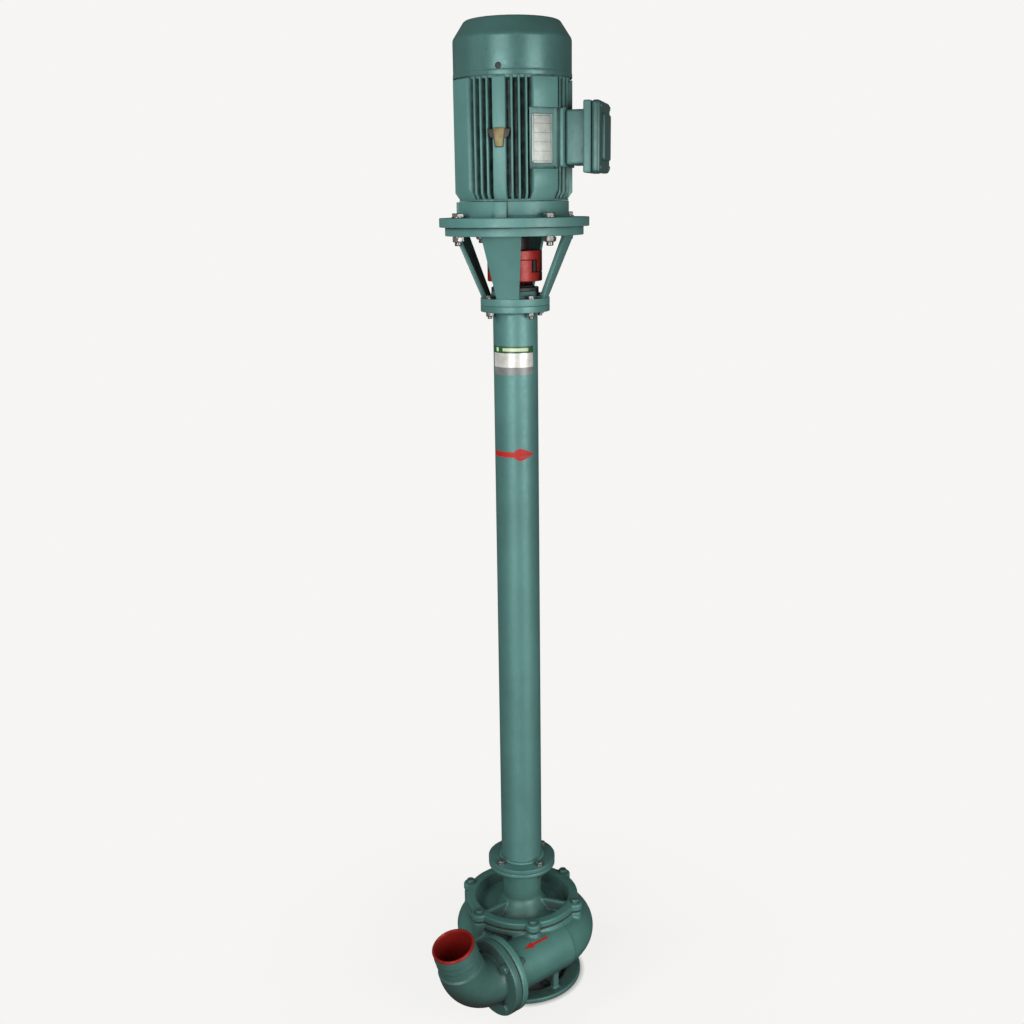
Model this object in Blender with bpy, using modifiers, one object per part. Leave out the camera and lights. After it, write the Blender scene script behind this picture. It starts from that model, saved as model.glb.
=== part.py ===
"""Pedestal sump pump: a flange motor on a lantern, a long column pipe, and a volute pump at its foot.

Metres, +Z up. The origin is on the shaft axis, in the plane that the foot ring stands on. +X points
to the terminal box. The pump end is built round its own direction, PUMP_TURN, which is the way the
discharge leaves.
"""

import math

import bmesh
import bpy
from mathutils import Matrix, Vector

NAME = "pedestal_sump_pump"
GAP = 0.0003
CUTTER_TWIST = math.radians(3.7)

# Where things are, as heights above the layout's datum. The foot ring's underside is at FOOT_LOW,
# and the finished pump is lowered by that much to stand at height 0.
FOOT_LOW = 0.013
FOOT_FLOOR_TOP = 0.019
FOOT_RING_TOP = 0.022
THROAT_LOW = 0.034
BASE_PLATE_LOW = 0.0545
CASING_LOW = 0.066
CASING_MID = 0.114
CASING_TOP = 0.165
COVER_LOW = 0.1672
COVER_TOP = 0.180
NECK_FLANGE_LOW = 0.2455
COLUMN_LOW = 0.2545
COLUMN_TOP = 1.301
LANTERN_LOW = COLUMN_TOP + GAP
LANTERN_TOP = 1.4287
FLANGE_LOW = LANTERN_TOP + GAP
FLANGE_TOP = 1.444
SHIELD_TOP = 1.4697
FRAME_LOW = SHIELD_TOP + GAP
FRAME_TOP = 1.658
COWL_LOW = 1.660
COWL_TOP = 1.7525

# Radii of the turned pieces.
COLUMN_R = 0.038
COLUMN_BORE_R = 0.034
TOP_JOINT_R = 0.0585
FOOT_JOINT_R = 0.063
NECK_R = 0.036
COVER_SPIGOT_R = 0.0915
COVER_R = 0.107
LANTERN_R = 0.1155
MOTOR_FLANGE_R = 0.125
SHIELD_R = 0.091
BARREL_R = 0.0815
FRAME_BORE_R = 0.0748
FIN_TIP_R = 0.0968
COWL_R = 0.0966
SHAFT_R = 0.017
COUPLING_R = 0.046

# The pump end: six cover bosses, one of them in the discharge's direction.
PUMP_TURN = math.radians(233.5)
BOSS_CIRCLE = 0.1065
BOSS_R = 0.014
NOZZLE_OFFSET = 0.095
NOZZLE_R = 0.045
NOZZLE_BORE = 0.0375
NOZZLE_FACE = 0.139
NOZZLE_FLANGE_R = 0.069
NOZZLE_FLANGE_THICK = 0.014
NOZZLE_BOLT_CIRCLE = 0.056
ELBOW_BEND = 0.070
ELBOW_TURN = math.radians(72.0)
SPIGOT_R = 0.038
SPIGOT_LENGTH = 0.061

FINE = 28
ROUND = 20
SMALL = 12
DRILL = 8

COLOURS = {
    "green_paint": ((0.10, 0.28, 0.26, 1.0), 0.42, 0.0),
    "red_paint": ((0.45, 0.03, 0.02, 1.0), 0.45, 0.0),
    "zinc_steel": ((0.62, 0.62, 0.60, 1.0), 0.35, 1.0),
    "bright_steel": ((0.55, 0.56, 0.57, 1.0), 0.28, 1.0),
    "bearing_steel": ((0.70, 0.71, 0.72, 1.0), 0.2, 1.0),
    "core_steel": ((0.25, 0.25, 0.26, 1.0), 0.5, 1.0),
    "copper_enamel": ((0.55, 0.22, 0.08, 1.0), 0.4, 1.0),
    "cast_iron": ((0.18, 0.18, 0.18, 1.0), 0.6, 1.0),
    "bronze": ((0.55, 0.38, 0.18, 1.0), 0.35, 1.0),
    "rubber": ((0.02, 0.02, 0.02, 1.0), 0.8, 0.0),
    "gasket": ((0.10, 0.09, 0.08, 1.0), 0.9, 0.0),
    "black_plastic": ((0.03, 0.03, 0.03, 1.0), 0.5, 0.0),
    "plate_metal": ((0.75, 0.75, 0.73, 1.0), 0.35, 1.0),
}


# Scene, collections and materials

def clear_scene():
    for old in list(bpy.data.objects):
        bpy.data.objects.remove(old, do_unlink=True)


def make_collection(name):
    made = bpy.data.collections.new(name)
    bpy.context.scene.collection.children.link(made)
    return made


def make_material(name):
    colour, roughness, metallic = COLOURS[name]
    made = bpy.data.materials.new(name)
    made.use_nodes = True
    shader = made.node_tree.nodes["Principled BSDF"]
    shader.inputs["Base Color"].default_value = colour
    shader.inputs["Roughness"].default_value = roughness
    shader.inputs["Metallic"].default_value = metallic
    made.diffuse_color = colour
    return made


clear_scene()
PARTS = make_collection(NAME)
CUTTERS = make_collection("cutters")
MATERIALS = {name: make_material(name) for name in COLOURS}


def as_part(piece, name, slot):
    """Names a finished piece and puts it among the parts."""
    piece.name = name
    piece.data.name = name
    for held in list(piece.users_collection):
        held.objects.unlink(piece)
    PARTS.objects.link(piece)
    piece.hide_render = False
    piece.display_type = "TEXTURED"
    piece.data.materials.clear()
    piece.data.materials.append(MATERIALS[slot])
    return piece


# Shapes: each starts as a helper among the cutters

def helper(mesh, name):
    made = bpy.data.objects.new(name, mesh)
    made.hide_render = True
    made.display_type = "WIRE"
    CUTTERS.objects.link(made)
    return made


def from_bmesh(bm, name):
    mesh = bpy.data.meshes.new(name)
    bmesh.ops.recalc_face_normals(bm, faces=bm.faces)
    bm.to_mesh(mesh)
    bm.free()
    mesh.shade_smooth()
    mesh.set_sharp_from_angle(angle=math.radians(35.0))
    return helper(mesh, name)


def turned(name, profile, segments, ring=True, twist=0.0):
    """A profile of (radius, height) turned about Z; ring closes it, otherwise it starts and ends on Z."""
    mesh = bpy.data.meshes.new(name)
    verts = [(radius * math.cos(twist), radius * math.sin(twist), height)
             for radius, height in profile]
    edges = [(i, i + 1) for i in range(len(profile) - 1)]
    if ring:
        edges.append((len(profile) - 1, 0))
    mesh.from_pydata(verts, edges, [])
    made = helper(mesh, name)
    screw = made.modifiers.new("turn", "SCREW")
    screw.steps = segments
    screw.render_steps = segments
    screw.use_merge_vertices = True
    screw.merge_threshold = 0.00001
    screw.use_smooth_shade = True
    return made


def box(name, low, high):
    bm = bmesh.new()
    add_box(bm, low, high, Matrix.Identity(4))
    return from_bmesh(bm, name)


def add_box(bm, low, high, place):
    size = [high[i] - low[i] for i in range(3)]
    middle = [(high[i] + low[i]) / 2 for i in range(3)]
    shape = place @ Matrix.Translation(middle) @ Matrix.Diagonal((*size, 1.0))
    bmesh.ops.create_cube(bm, size=1.0, matrix=shape)


def around(angle):
    return Matrix.Rotation(angle, 4, "Z")


def boxes_around(name, angles, low, high):
    """Copies of one box, given for the +X direction, at each angle about Z."""
    bm = bmesh.new()
    for angle in angles:
        add_box(bm, low, high, around(angle))
    return from_bmesh(bm, name)


def rods(name, places, radius, length, segments=DRILL):
    """Straight rods; each place is a matrix whose local Z runs along the rod from its start.

    Their corners are turned off the radial lines, where the turned pieces have theirs.
    """
    bm = bmesh.new()
    for place in places:
        shape = place @ around(CUTTER_TWIST) @ Matrix.Translation((0, 0, length / 2))
        bmesh.ops.create_cone(bm, cap_ends=True, segments=segments, radius1=radius,
                              radius2=radius, depth=length, matrix=shape)
    return from_bmesh(bm, name)


def upright_places(count, circle, height, first_angle):
    step = 2 * math.pi / count
    return [around(first_angle + i * step) @ Matrix.Translation((circle, 0, height))
            for i in range(count)]


def slab(name, outline, low, high):
    """A flat outline of (x, y) points between two heights."""
    curve = bpy.data.curves.new(name, "CURVE")
    curve.dimensions = "2D"
    curve.fill_mode = "BOTH"
    curve.extrude = (high - low) / 2
    spline = curve.splines.new("POLY")
    spline.points.add(len(outline) - 1)
    for point, (x, y) in zip(spline.points, outline):
        point.co = (x, y, 0.0, 1.0)
    spline.use_cyclic_u = True
    drawn = bpy.data.objects.new(name, curve)
    CUTTERS.objects.link(drawn)
    drawn.location.z = (low + high) / 2
    bpy.context.view_layer.update()
    graph = bpy.context.evaluated_depsgraph_get()
    mesh = bpy.data.meshes.new_from_object(drawn.evaluated_get(graph))
    mesh.transform(drawn.matrix_world)
    bpy.data.objects.remove(drawn, do_unlink=True)
    bm = bmesh.new()
    bm.from_mesh(mesh)
    bpy.data.meshes.remove(mesh)
    bmesh.ops.remove_doubles(bm, verts=bm.verts, dist=0.00001)
    return from_bmesh(bm, name)


def arc(radius, start, end, steps):
    return [(radius * math.cos(start + (end - start) * i / steps),
             radius * math.sin(start + (end - start) * i / steps)) for i in range(steps + 1)]


def sector(inner, outer, middle, half, steps):
    """Outline of a ring sector."""
    out = arc(outer, middle - half, middle + half, steps)
    back = arc(inner, middle + half, middle - half, steps)
    return out + back


def loft(name, rings):
    """A closed tube through rings of points, all with the same count, capped at both ends."""
    bm = bmesh.new()
    loops = [[bm.verts.new(point) for point in ring] for ring in rings]
    count = len(loops[0])
    for lower, upper in zip(loops, loops[1:]):
        for i in range(count):
            j = (i + 1) % count
            bm.faces.new((lower[i], lower[j], upper[j], upper[i]))
    bm.faces.new(loops[0][::-1])
    bm.faces.new(loops[-1])
    return from_bmesh(bm, name)


def combine(piece, other, operation):
    made = piece.modifiers.new(operation.lower(), "BOOLEAN")
    made.operation = operation
    made.solver = "EXACT"
    made.object = other
    return piece


def join(piece, *others):
    for other in others:
        combine(piece, other, "UNION")
    return piece


def cut(piece, *others):
    for other in others:
        combine(piece, other, "DIFFERENCE")
    return piece


# Fasteners

def fastener_mesh(name, sections):
    """Sections are (height, size, is_hex): a radius, or a width across flats where is_hex."""
    rings = []
    for height, size, is_hex in sections:
        radius = size / math.sqrt(3) if is_hex else size
        ring = []
        for i in range(6):
            angle = math.radians(60 * i)
            ring.append((radius * math.cos(angle), radius * math.sin(angle), height))
        rings.append(ring)
    made = loft(name, rings)
    mesh = made.data
    bpy.data.objects.remove(made, do_unlink=True)
    return mesh


def screw_sections(shank, head_flats, head_height, length):
    """A hex head that sits above height 0, and its shank below."""
    return [(-length, shank, False), (0.0, shank, False), (0.0, head_flats, True),
            (head_height, head_flats, True)]


def bolt_sections(shank, head_flats, head_height, grip):
    """A hex head above height 0, a shank through the grip, and its nut run up below."""
    nut = head_height * 1.15
    return [(-grip - nut - shank, shank, False), (-grip - nut, shank, False),
            (-grip - nut, head_flats, True), (-grip, head_flats, True),
            (-grip, shank, False)] + screw_sections(shank, head_flats, head_height, grip)[1:]


def place_fasteners(name, mesh, places, slot="zinc_steel"):
    for number, place in enumerate(places, 1):
        made = helper(mesh, name)
        made.matrix_world = place
        made.data = mesh
        as_part(made, f"{name}_{number}", slot)


# Pump end: directions of the discharge

OUT = Vector((math.cos(PUMP_TURN), math.sin(PUMP_TURN), 0.0))
SIDE = Vector((math.cos(PUMP_TURN + math.pi / 2), math.sin(PUMP_TURN + math.pi / 2), 0.0))
UP = Vector((0.0, 0.0, 1.0))
NOZZLE_START = SIDE * NOZZLE_OFFSET + UP * CASING_MID


def frame_at(point, along):
    """A matrix with its origin at the point and its Z along the given direction, X along SIDE."""
    along = along.normalized()
    third = along.cross(SIDE)
    turn = Matrix((SIDE, third, along)).transposed().to_4x4()
    return Matrix.Translation(point) @ turn


def nozzle_point(distance):
    return NOZZLE_START + OUT * distance


def nozzle_bolt_places(distance):
    """Places round the discharge flange, each with its Z pointing away from the pump."""
    centre = frame_at(nozzle_point(distance), OUT)
    step = math.pi / 2
    return [centre @ around((i + 0.5) * step) @ Matrix.Translation((NOZZLE_BOLT_CIRCLE, 0, 0))
            for i in range(4)]


# Volute casing

SPIRAL_STEPS = 18
SECTION_POINTS = 12
SPIRAL_START = math.radians(4.0)


def spiral_ring(swept, wall):
    """A section of the scroll: swept grows clockwise, seen from above, from the discharge."""
    share = swept / (2 * math.pi)
    outermost = 0.118 + 0.022 * share ** 0.9
    radius = 0.028 + (NOZZLE_R - 0.028) * share
    centre = outermost - radius
    angle = PUMP_TURN + math.pi / 2 - swept
    ring = []
    for i in range(SECTION_POINTS):
        turn = 2 * math.pi * i / SECTION_POINTS
        reach = centre + (radius - wall) * math.cos(turn)
        height = CASING_MID + (radius - wall) * math.sin(turn)
        ring.append((reach * math.cos(angle), reach * math.sin(angle), height))
    return ring


def scroll(name, wall):
    sweep = 2 * math.pi - SPIRAL_START
    return loft(name, [spiral_ring(SPIRAL_START + sweep * i / SPIRAL_STEPS, wall)
                       for i in range(SPIRAL_STEPS + 1)])


def volute_casing():
    wall = 0.0072
    socket_r = COVER_SPIGOT_R + 0.0010
    floor = 0.096
    step = 0.1455
    chamber_r = 0.084
    eye_r = 0.042
    drum = turned("volute_drum", [(0.0, CASING_TOP), (COVER_R, CASING_TOP), (COVER_R, 0.153),
                                  (0.097, 0.150), (0.097, 0.078), (0.090, CASING_LOW),
                                  (0.0, CASING_LOW)], FINE, ring=False)
    nozzle = rods("nozzle", [frame_at(nozzle_point(-0.010), OUT)], NOZZLE_R,
                  NOZZLE_FACE - 0.004 + 0.010, ROUND)
    flange = rods("nozzle_flange", [frame_at(nozzle_point(NOZZLE_FACE - NOZZLE_FLANGE_THICK), OUT)],
                  NOZZLE_FLANGE_R, NOZZLE_FLANGE_THICK, FINE)
    bosses = rods("casing_bosses", upright_places(6, BOSS_CIRCLE, 0.126, PUMP_TURN),
                  BOSS_R - 0.001, CASING_TOP - 0.0004 - 0.126, 10)
    join(drum, scroll("scroll_outside", 0.0), nozzle, flange, bosses)
    chamber = turned("chamber", [(0.0, 0.2), (socket_r, 0.2), (socket_r, step), (chamber_r, step),
                                 (chamber_r, floor), (eye_r, floor), (eye_r, 0.05),
                                 (0.0, 0.05)], FINE, ring=False, twist=CUTTER_TWIST)
    bore = rods("nozzle_bore", [frame_at(nozzle_point(-0.005), OUT)], NOZZLE_BORE, 0.2, ROUND)
    threads = rods("cover_screw_holes", upright_places(6, BOSS_CIRCLE, 0.153, PUMP_TURN),
                   0.0046, 0.02)
    holes = rods("discharge_bolt_holes", nozzle_bolt_places(0.110), 0.0058, 0.05)
    cut(drum, scroll("scroll_inside", wall), chamber, bore, threads, holes)
    return as_part(drum, "volute_casing", "green_paint")


def pump_cover():
    floor = 0.156
    under = 0.148
    bore_r = 0.019
    seat_r = 0.0273
    seat_low = 0.176
    outside = [(seat_r, COLUMN_LOW - GAP), (FOOT_JOINT_R, COLUMN_LOW - GAP),
               (FOOT_JOINT_R, NECK_FLANGE_LOW), (NECK_R + 0.0025, NECK_FLANGE_LOW),
               (NECK_R, NECK_FLANGE_LOW - 0.0025), (NECK_R, 0.180), (0.040, 0.174),
               (0.050, 0.163), (0.053, floor), (0.0815, floor), (0.0895, COVER_TOP - 0.0015),
               (0.0915, COVER_TOP), (COVER_R, COVER_TOP), (COVER_R, COVER_LOW)]
    inside = [(COVER_SPIGOT_R, COVER_LOW), (COVER_SPIGOT_R, under), (bore_r, under),
              (bore_r, seat_low), (seat_r, seat_low)]
    cover = turned("cover_body", outside + inside, FINE)
    rib_angles = [PUMP_TURN + math.radians(120.0 * i) for i in range(3)]
    ribs = boxes_around("cover_ribs", rib_angles, (0.033, -0.0035, 0.152), (0.0905, 0.0035, 0.1768))
    bosses = rods("cover_bosses", upright_places(6, BOSS_CIRCLE, COVER_LOW + 0.0004, PUMP_TURN),
                  BOSS_R, COVER_TOP + 0.0006 - COVER_LOW - 0.0004, SMALL)
    join(cover, ribs, bosses)
    screw_holes = rods("cover_holes", upright_places(6, BOSS_CIRCLE, 0.160, PUMP_TURN), 0.0045, 0.03)
    foot_holes = rods("neck_holes", foot_bolt_places(0.235), 0.0045, 0.03)
    cut(cover, screw_holes, foot_holes)
    return as_part(cover, "pump_cover", "green_paint")


def foot_bolt_places(height):
    return upright_places(4, 0.051, height, PUMP_TURN + math.pi / 2)


def top_bolt_places(height):
    return upright_places(4, 0.050, height, math.pi / 4)


def flange_bolt_places(height):
    return upright_places(4, 0.1075, height, math.pi / 4)


def ring_gasket():
    low = CASING_TOP + GAP
    high = COVER_LOW - GAP
    inner = COVER_SPIGOT_R + 0.0005
    ring = turned("gasket_ring", [(inner, high), (COVER_R - 0.0005, high),
                                  (COVER_R - 0.0005, low), (inner, low)], FINE)
    cut(ring, rods("gasket_holes", upright_places(6, BOSS_CIRCLE, 0.160, PUMP_TURN), 0.0050, 0.01))
    return as_part(ring, "cover_gasket", "gasket")


def impeller():
    bore = 0.0123
    vane_low = 0.0985
    hub = turned("impeller_hub", [(bore, 0.145), (0.020, 0.145), (0.0225, 0.140), (0.0755, 0.138),
                                  (0.0755, 0.133), (0.030, 0.131), (0.0225, 0.120),
                                  (0.019, 0.100), (bore, 0.100)], ROUND)
    for number in range(5):
        vane = slab(f"vane_{number}", vane_outline(2 * math.pi * number / 5), vane_low, 0.1345)
        join(hub, vane)
    return as_part(hub, "impeller", "cast_iron")


def vane_outline(start):
    """A backward-curved vane: its tip trails the clockwise turn."""
    steps = 6
    inner = 0.0195
    outer = 0.0745
    trail = math.radians(62.0)
    thick = 0.0048
    middle = []
    for i in range(steps + 1):
        share = i / steps
        radius = inner + (outer - inner) * share
        angle = start + trail * share
        middle.append(Vector((radius * math.cos(angle), radius * math.sin(angle))))
    left = []
    right = []
    for i, point in enumerate(middle):
        before = middle[max(i - 1, 0)]
        after = middle[min(i + 1, steps)]
        along = (after - before).normalized()
        across = Vector((-along.y, along.x)) * thick / 2
        left.append(tuple(point + across))
        right.append(tuple(point - across))
    return right + left[::-1]


def suction_base():
    ring_in = 0.084
    foot = turned("foot", [(0.0, FOOT_FLOOR_TOP), (ring_in, FOOT_FLOOR_TOP),
                           (ring_in, FOOT_RING_TOP), (0.1095, FOOT_RING_TOP),
                           (0.112, FOOT_RING_TOP - 0.0025), (0.112, FOOT_LOW),
                           (0.0, FOOT_LOW)], FINE, ring=False)
    for number in range(6):
        middle = PUMP_TURN + math.radians(60.0 * number)
        window = slab(f"floor_window_{number}", spoked_window(0.024, 0.080, middle, 0.004), 0.0, 0.025)
        cut(foot, window)
    leg_angles = [PUMP_TURN + math.radians(30.0 + 60.0 * i) for i in range(6)]
    legs = boxes_around("legs", leg_angles, (0.0865, -0.0065, 0.017), (0.0985, 0.0065, 0.060))
    plate = turned("base_plate", [(0.038, CASING_LOW - GAP), (0.100, CASING_LOW - GAP),
                                  (0.100, BASE_PLATE_LOW), (0.048, BASE_PLATE_LOW),
                                  (0.0445, BASE_PLATE_LOW - 0.003), (0.0445, THROAT_LOW),
                                  (0.038, THROAT_LOW)], ROUND)
    join(foot, legs, plate)
    return as_part(foot, "suction_base", "green_paint")


def spoked_window(inner, outer, middle, half_spoke):
    """A window of a spoked disc: its sides run along spokes of constant width."""
    pitch = math.radians(30.0)
    far = pitch - math.asin(half_spoke / outer)
    near = pitch - math.asin(half_spoke / inner)
    return (arc(outer, middle - far, middle + far, 6)
            + arc(inner, middle + near, middle - near, 3))


# Discharge elbow

def elbow_station(turn, beyond, radius):
    """A ring of the elbow after a turn of its axis, and a straight run beyond it."""
    along = OUT * math.cos(turn) + UP * math.sin(turn)
    over = OUT * -math.sin(turn) + UP * math.cos(turn)
    start = nozzle_point(ELBOW_START)
    centre = start + OUT * ELBOW_BEND * math.sin(turn) + UP * ELBOW_BEND * (1 - math.cos(turn))
    centre = centre + along * beyond
    return [centre + SIDE * radius * math.cos(a) + over * radius * math.sin(a)
            for a in (2 * math.pi * i / ELBOW_POINTS for i in range(ELBOW_POINTS))]


ELBOW_FACE = NOZZLE_FACE + 0.0016
ELBOW_START = ELBOW_FACE + NOZZLE_FLANGE_THICK
ELBOW_POINTS = 18
ELBOW_STEPS = 6


def discharge_elbow():
    body_r = 0.0445
    outside = [elbow_station(0.0, -0.006, body_r)]
    for i in range(ELBOW_STEPS + 1):
        share = i / ELBOW_STEPS
        outside.append(elbow_station(ELBOW_TURN * share, 0.0, body_r - 0.003 * share))
    outside.append(elbow_station(ELBOW_TURN, 0.016, SPIGOT_R))
    outside.append(elbow_station(ELBOW_TURN, SPIGOT_LENGTH, SPIGOT_R))
    inside = [elbow_station(0.0, -0.03, NOZZLE_BORE)]
    for i in range(ELBOW_STEPS + 1):
        share = i / ELBOW_STEPS
        inside.append(elbow_station(ELBOW_TURN * share, 0.0, NOZZLE_BORE - 0.003 * share))
    inside.append(elbow_station(ELBOW_TURN, SPIGOT_LENGTH + 0.01, NOZZLE_BORE - 0.003))
    elbow = rods("elbow_flange", [frame_at(nozzle_point(ELBOW_FACE), OUT)], NOZZLE_FLANGE_R,
                 NOZZLE_FLANGE_THICK, FINE)
    join(elbow, loft("elbow_outside", outside))
    cut(elbow, loft("elbow_inside", inside),
        rods("elbow_holes", nozzle_bolt_places(0.130), 0.0058, 0.04))
    return as_part(elbow, "discharge_elbow", "green_paint")


def discharge_gasket():
    thick = ELBOW_FACE - NOZZLE_FACE - 2 * GAP
    place = frame_at(nozzle_point(NOZZLE_FACE + GAP), OUT)
    gasket = rods("flat_ring", [place], NOZZLE_FLANGE_R - 0.001, thick, FINE)
    cut(gasket, rods("ring_bore", [frame_at(nozzle_point(0.13), OUT)], NOZZLE_BORE + 0.0005, 0.02,
                     ROUND),
        rods("ring_holes", nozzle_bolt_places(0.130), 0.0058, 0.04))
    return as_part(gasket, "discharge_gasket", "gasket")


# Column and lantern

def column_pipe():
    weld = 0.0032
    foot_thick = 0.008
    top_low = 1.290
    pipe = turned("pipe", [(COLUMN_BORE_R, COLUMN_TOP), (TOP_JOINT_R, COLUMN_TOP),
                           (TOP_JOINT_R, top_low), (COLUMN_R + weld, top_low),
                           (COLUMN_R, top_low - weld), (COLUMN_R, COLUMN_LOW + foot_thick + 2 * weld),
                           (COLUMN_R + weld, COLUMN_LOW + foot_thick + weld),
                           (COLUMN_R + weld, COLUMN_LOW + foot_thick),
                           (FOOT_JOINT_R, COLUMN_LOW + foot_thick),
                           (FOOT_JOINT_R, COLUMN_LOW), (COLUMN_BORE_R, COLUMN_LOW)], FINE)
    cut(pipe, rods("column_top_holes", top_bolt_places(1.28), 0.0045, 0.03),
        rods("column_foot_holes", foot_bolt_places(0.25), 0.0045, 0.02))
    return as_part(pipe, "column_pipe", "green_paint")


def lantern():
    seat = 0.0313
    body = turned("lantern_body", [(0.090, LANTERN_TOP), (LANTERN_R, LANTERN_TOP),
                                   (LANTERN_R, 1.415), (0.099, 1.415), (0.0565, 1.3135),
                                   (TOP_JOINT_R, 1.313), (TOP_JOINT_R, LANTERN_LOW),
                                   (0.020, LANTERN_LOW), (0.020, 1.3075), (seat, 1.3075),
                                   (seat, 1.3238), (0.040, 1.3238), (0.041, 1.316),
                                   (0.049, 1.316), (0.0905, 1.412)], FINE)
    half_window = math.radians(90.0 - 39.0) / 2
    for number in range(4):
        middle = math.pi / 4 + number * math.pi / 2
        outline = sector(0.0425, 0.13, middle, half_window, 4)
        cut(body, slab(f"window_{number}", outline, 1.3125, 1.4148))
    cut(body, rods("lantern_top_holes", flange_bolt_places(1.40), 0.0068, 0.04),
        rods("lantern_low_holes", top_bolt_places(1.295), 0.0045, 0.03))
    return as_part(body, "lantern", "green_paint")


def bearing_cap():
    low = 1.3238 + GAP
    cap = turned("cap", [(0.0165, 1.3335), (0.031, 1.3335), (0.040, 1.330), (0.040, low),
                         (0.0165, low)], ROUND)
    return as_part(cap, "bearing_cap", "cast_iron")


# Motor

def motor_flange():
    bore = 0.0172
    seat = 0.0313
    shield = turned("shield", [(seat, 1.4655), (0.039, 1.4655), (0.041, FLANGE_TOP + 0.001),
                               (0.072, FLANGE_TOP + 0.001), (0.074, SHIELD_TOP),
                               (SHIELD_R, SHIELD_TOP), (SHIELD_R, FLANGE_TOP + 0.002),
                               (SHIELD_R + 0.002, FLANGE_TOP), (MOTOR_FLANGE_R, FLANGE_TOP),
                               (MOTOR_FLANGE_R, FLANGE_LOW), (0.042, FLANGE_LOW),
                               (0.038, FLANGE_LOW + 0.004), (bore, FLANGE_LOW + 0.004),
                               (bore, 1.446), (seat, 1.446)], FINE)
    ribs = boxes_around("shield_ribs", [math.pi, -math.pi / 2, math.pi / 2],
                        (0.085, -0.0105, FLANGE_TOP - 0.003), (0.0965, 0.0105, SHIELD_TOP - 0.0004))
    join(shield, ribs)
    cut(shield, rods("flange_holes", flange_bolt_places(1.42), 0.0068, 0.04))
    return as_part(shield, "motor_flange", "green_paint")


def fin_angles():
    quarters = [math.pi * i / 2 for i in range(4)]
    spread = [math.radians(side * step) for step in (12.0, 19.0, 26.0) for side in (-1, 1)]
    return [quarter + off for quarter in quarters for off in spread]


def motor_frame():
    boss_face = 0.095
    barrel = turned("barrel", [(0.0, FRAME_TOP), (BARREL_R + 0.004, FRAME_TOP),
                               (BARREL_R + 0.004, FRAME_TOP - 0.004), (BARREL_R, FRAME_TOP - 0.006),
                               (BARREL_R, FRAME_LOW + 0.006), (SHIELD_R - 0.0005, FRAME_LOW + 0.003),
                               (SHIELD_R - 0.0005, FRAME_LOW), (0.0, FRAME_LOW)], FINE, ring=False)
    low = FRAME_LOW + 0.0008
    high = FRAME_TOP - 0.0005
    fins = boxes_around("fins", fin_angles(), (0.0785, -0.0021, low), (FIN_TIP_R, 0.0021, high))
    bars = boxes_around("bars", [math.pi, -math.pi / 2, math.pi / 2],
                        (0.0785, -0.0105, FRAME_LOW + 0.0004), (0.0972, 0.0105, high - 0.0004))
    pads = boxes_around("pads", [math.pi / 4 + math.pi / 2 * i for i in range(4)],
                        (0.0795, -0.023, low + 0.0003), (0.0985, 0.023, high - 0.0002))
    boss = box("terminal_boss", (0.075, -0.045, 1.522), (boss_face + 0.004, 0.045, 1.612))
    join(barrel, fins, bars, pads, boss)
    envelope = turned("envelope", [(0.0, 1.7), (0.102, 1.7), (0.102, 1.4905), (0.089, FRAME_LOW + 0.002),
                                   (0.0985, FRAME_LOW + 0.0018), (0.0985, 1.4), (0.0, 1.4)],
                      FINE, ring=False, twist=CUTTER_TWIST)
    combine(barrel, envelope, "INTERSECT")
    name_seat = boxes_around("name_seat", [-math.pi / 4], (0.086, -0.03, 1.5185), (0.12, 0.03, 1.6115))
    boss_trim = box("boss_trim", (boss_face, -0.0465, 1.5205), (0.13, 0.0465, 1.6135))
    bore = turned("frame_bore", [(0.0, 1.7), (FRAME_BORE_R, 1.7), (FRAME_BORE_R, 1.4), (0.0, 1.4)],
                  FINE, ring=False, twist=CUTTER_TWIST)
    lead_hole = rods("lead_hole", [Matrix.Translation((0.06, 0, 1.567)) @ Matrix.Rotation(
        math.pi / 2, 4, "Y")], 0.012, 0.05)
    cut(barrel, name_seat, boss_trim, bore, lead_hole)
    return as_part(barrel, "motor_frame", "green_paint")


def upper_end_shield():
    low = FRAME_TOP + GAP
    shield = turned("top_shield", [(0.0155, 1.684), (0.036, 1.684), (0.040, 1.672), (0.093, 1.667),
                                   (0.093, low), (0.040, low), (0.036, 1.655), (0.0265, 1.655),
                                   (0.0265, 1.676), (0.0155, 1.676)], ROUND)
    return as_part(shield, "upper_end_shield", "green_paint")


def fan_cowl():
    sheet = 0.002
    shoulder = 1.7195
    crown_r = 0.0775
    crown = 1.7475
    cowl = turned("cowl", [(0.0, COWL_TOP), (0.045, COWL_TOP - 0.0012), (crown_r, crown),
                           (COWL_R, shoulder), (COWL_R, COWL_LOW), (COWL_R - sheet, COWL_LOW),
                           (COWL_R - sheet, shoulder - 0.0008), (crown_r - 0.0015, crown - 0.0022),
                           (0.045, COWL_TOP - 0.0034), (0.0, COWL_TOP - sheet - 0.0002)],
                  FINE, ring=False)
    slots = bmesh.new()
    for ring in range(3):
        inner = 0.018 + 0.0165 * ring
        for number in range(6):
            add_sector(slots, inner, inner + 0.009, math.radians(60.0 * number + 30.0 * ring),
                       math.radians(30.0) - 0.0035 / inner, 1.735, 1.77)
    cut(cowl, from_bmesh(slots, "air_slots"))
    return as_part(cowl, "fan_cowl", "green_paint")


def add_sector(bm, inner, outer, middle, half, low, high):
    """A ring-sector prism added to a mesh that holds several."""
    outline = sector(inner, outer, middle, half, 2)
    face = bm.faces.new([bm.verts.new((x, y, low)) for x, y in outline])
    grown = bmesh.ops.extrude_face_region(bm, geom=[face])
    risen = [item for item in grown["geom"] if isinstance(item, bmesh.types.BMVert)]
    bmesh.ops.translate(bm, verts=risen, vec=(0.0, 0.0, high - low))


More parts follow.
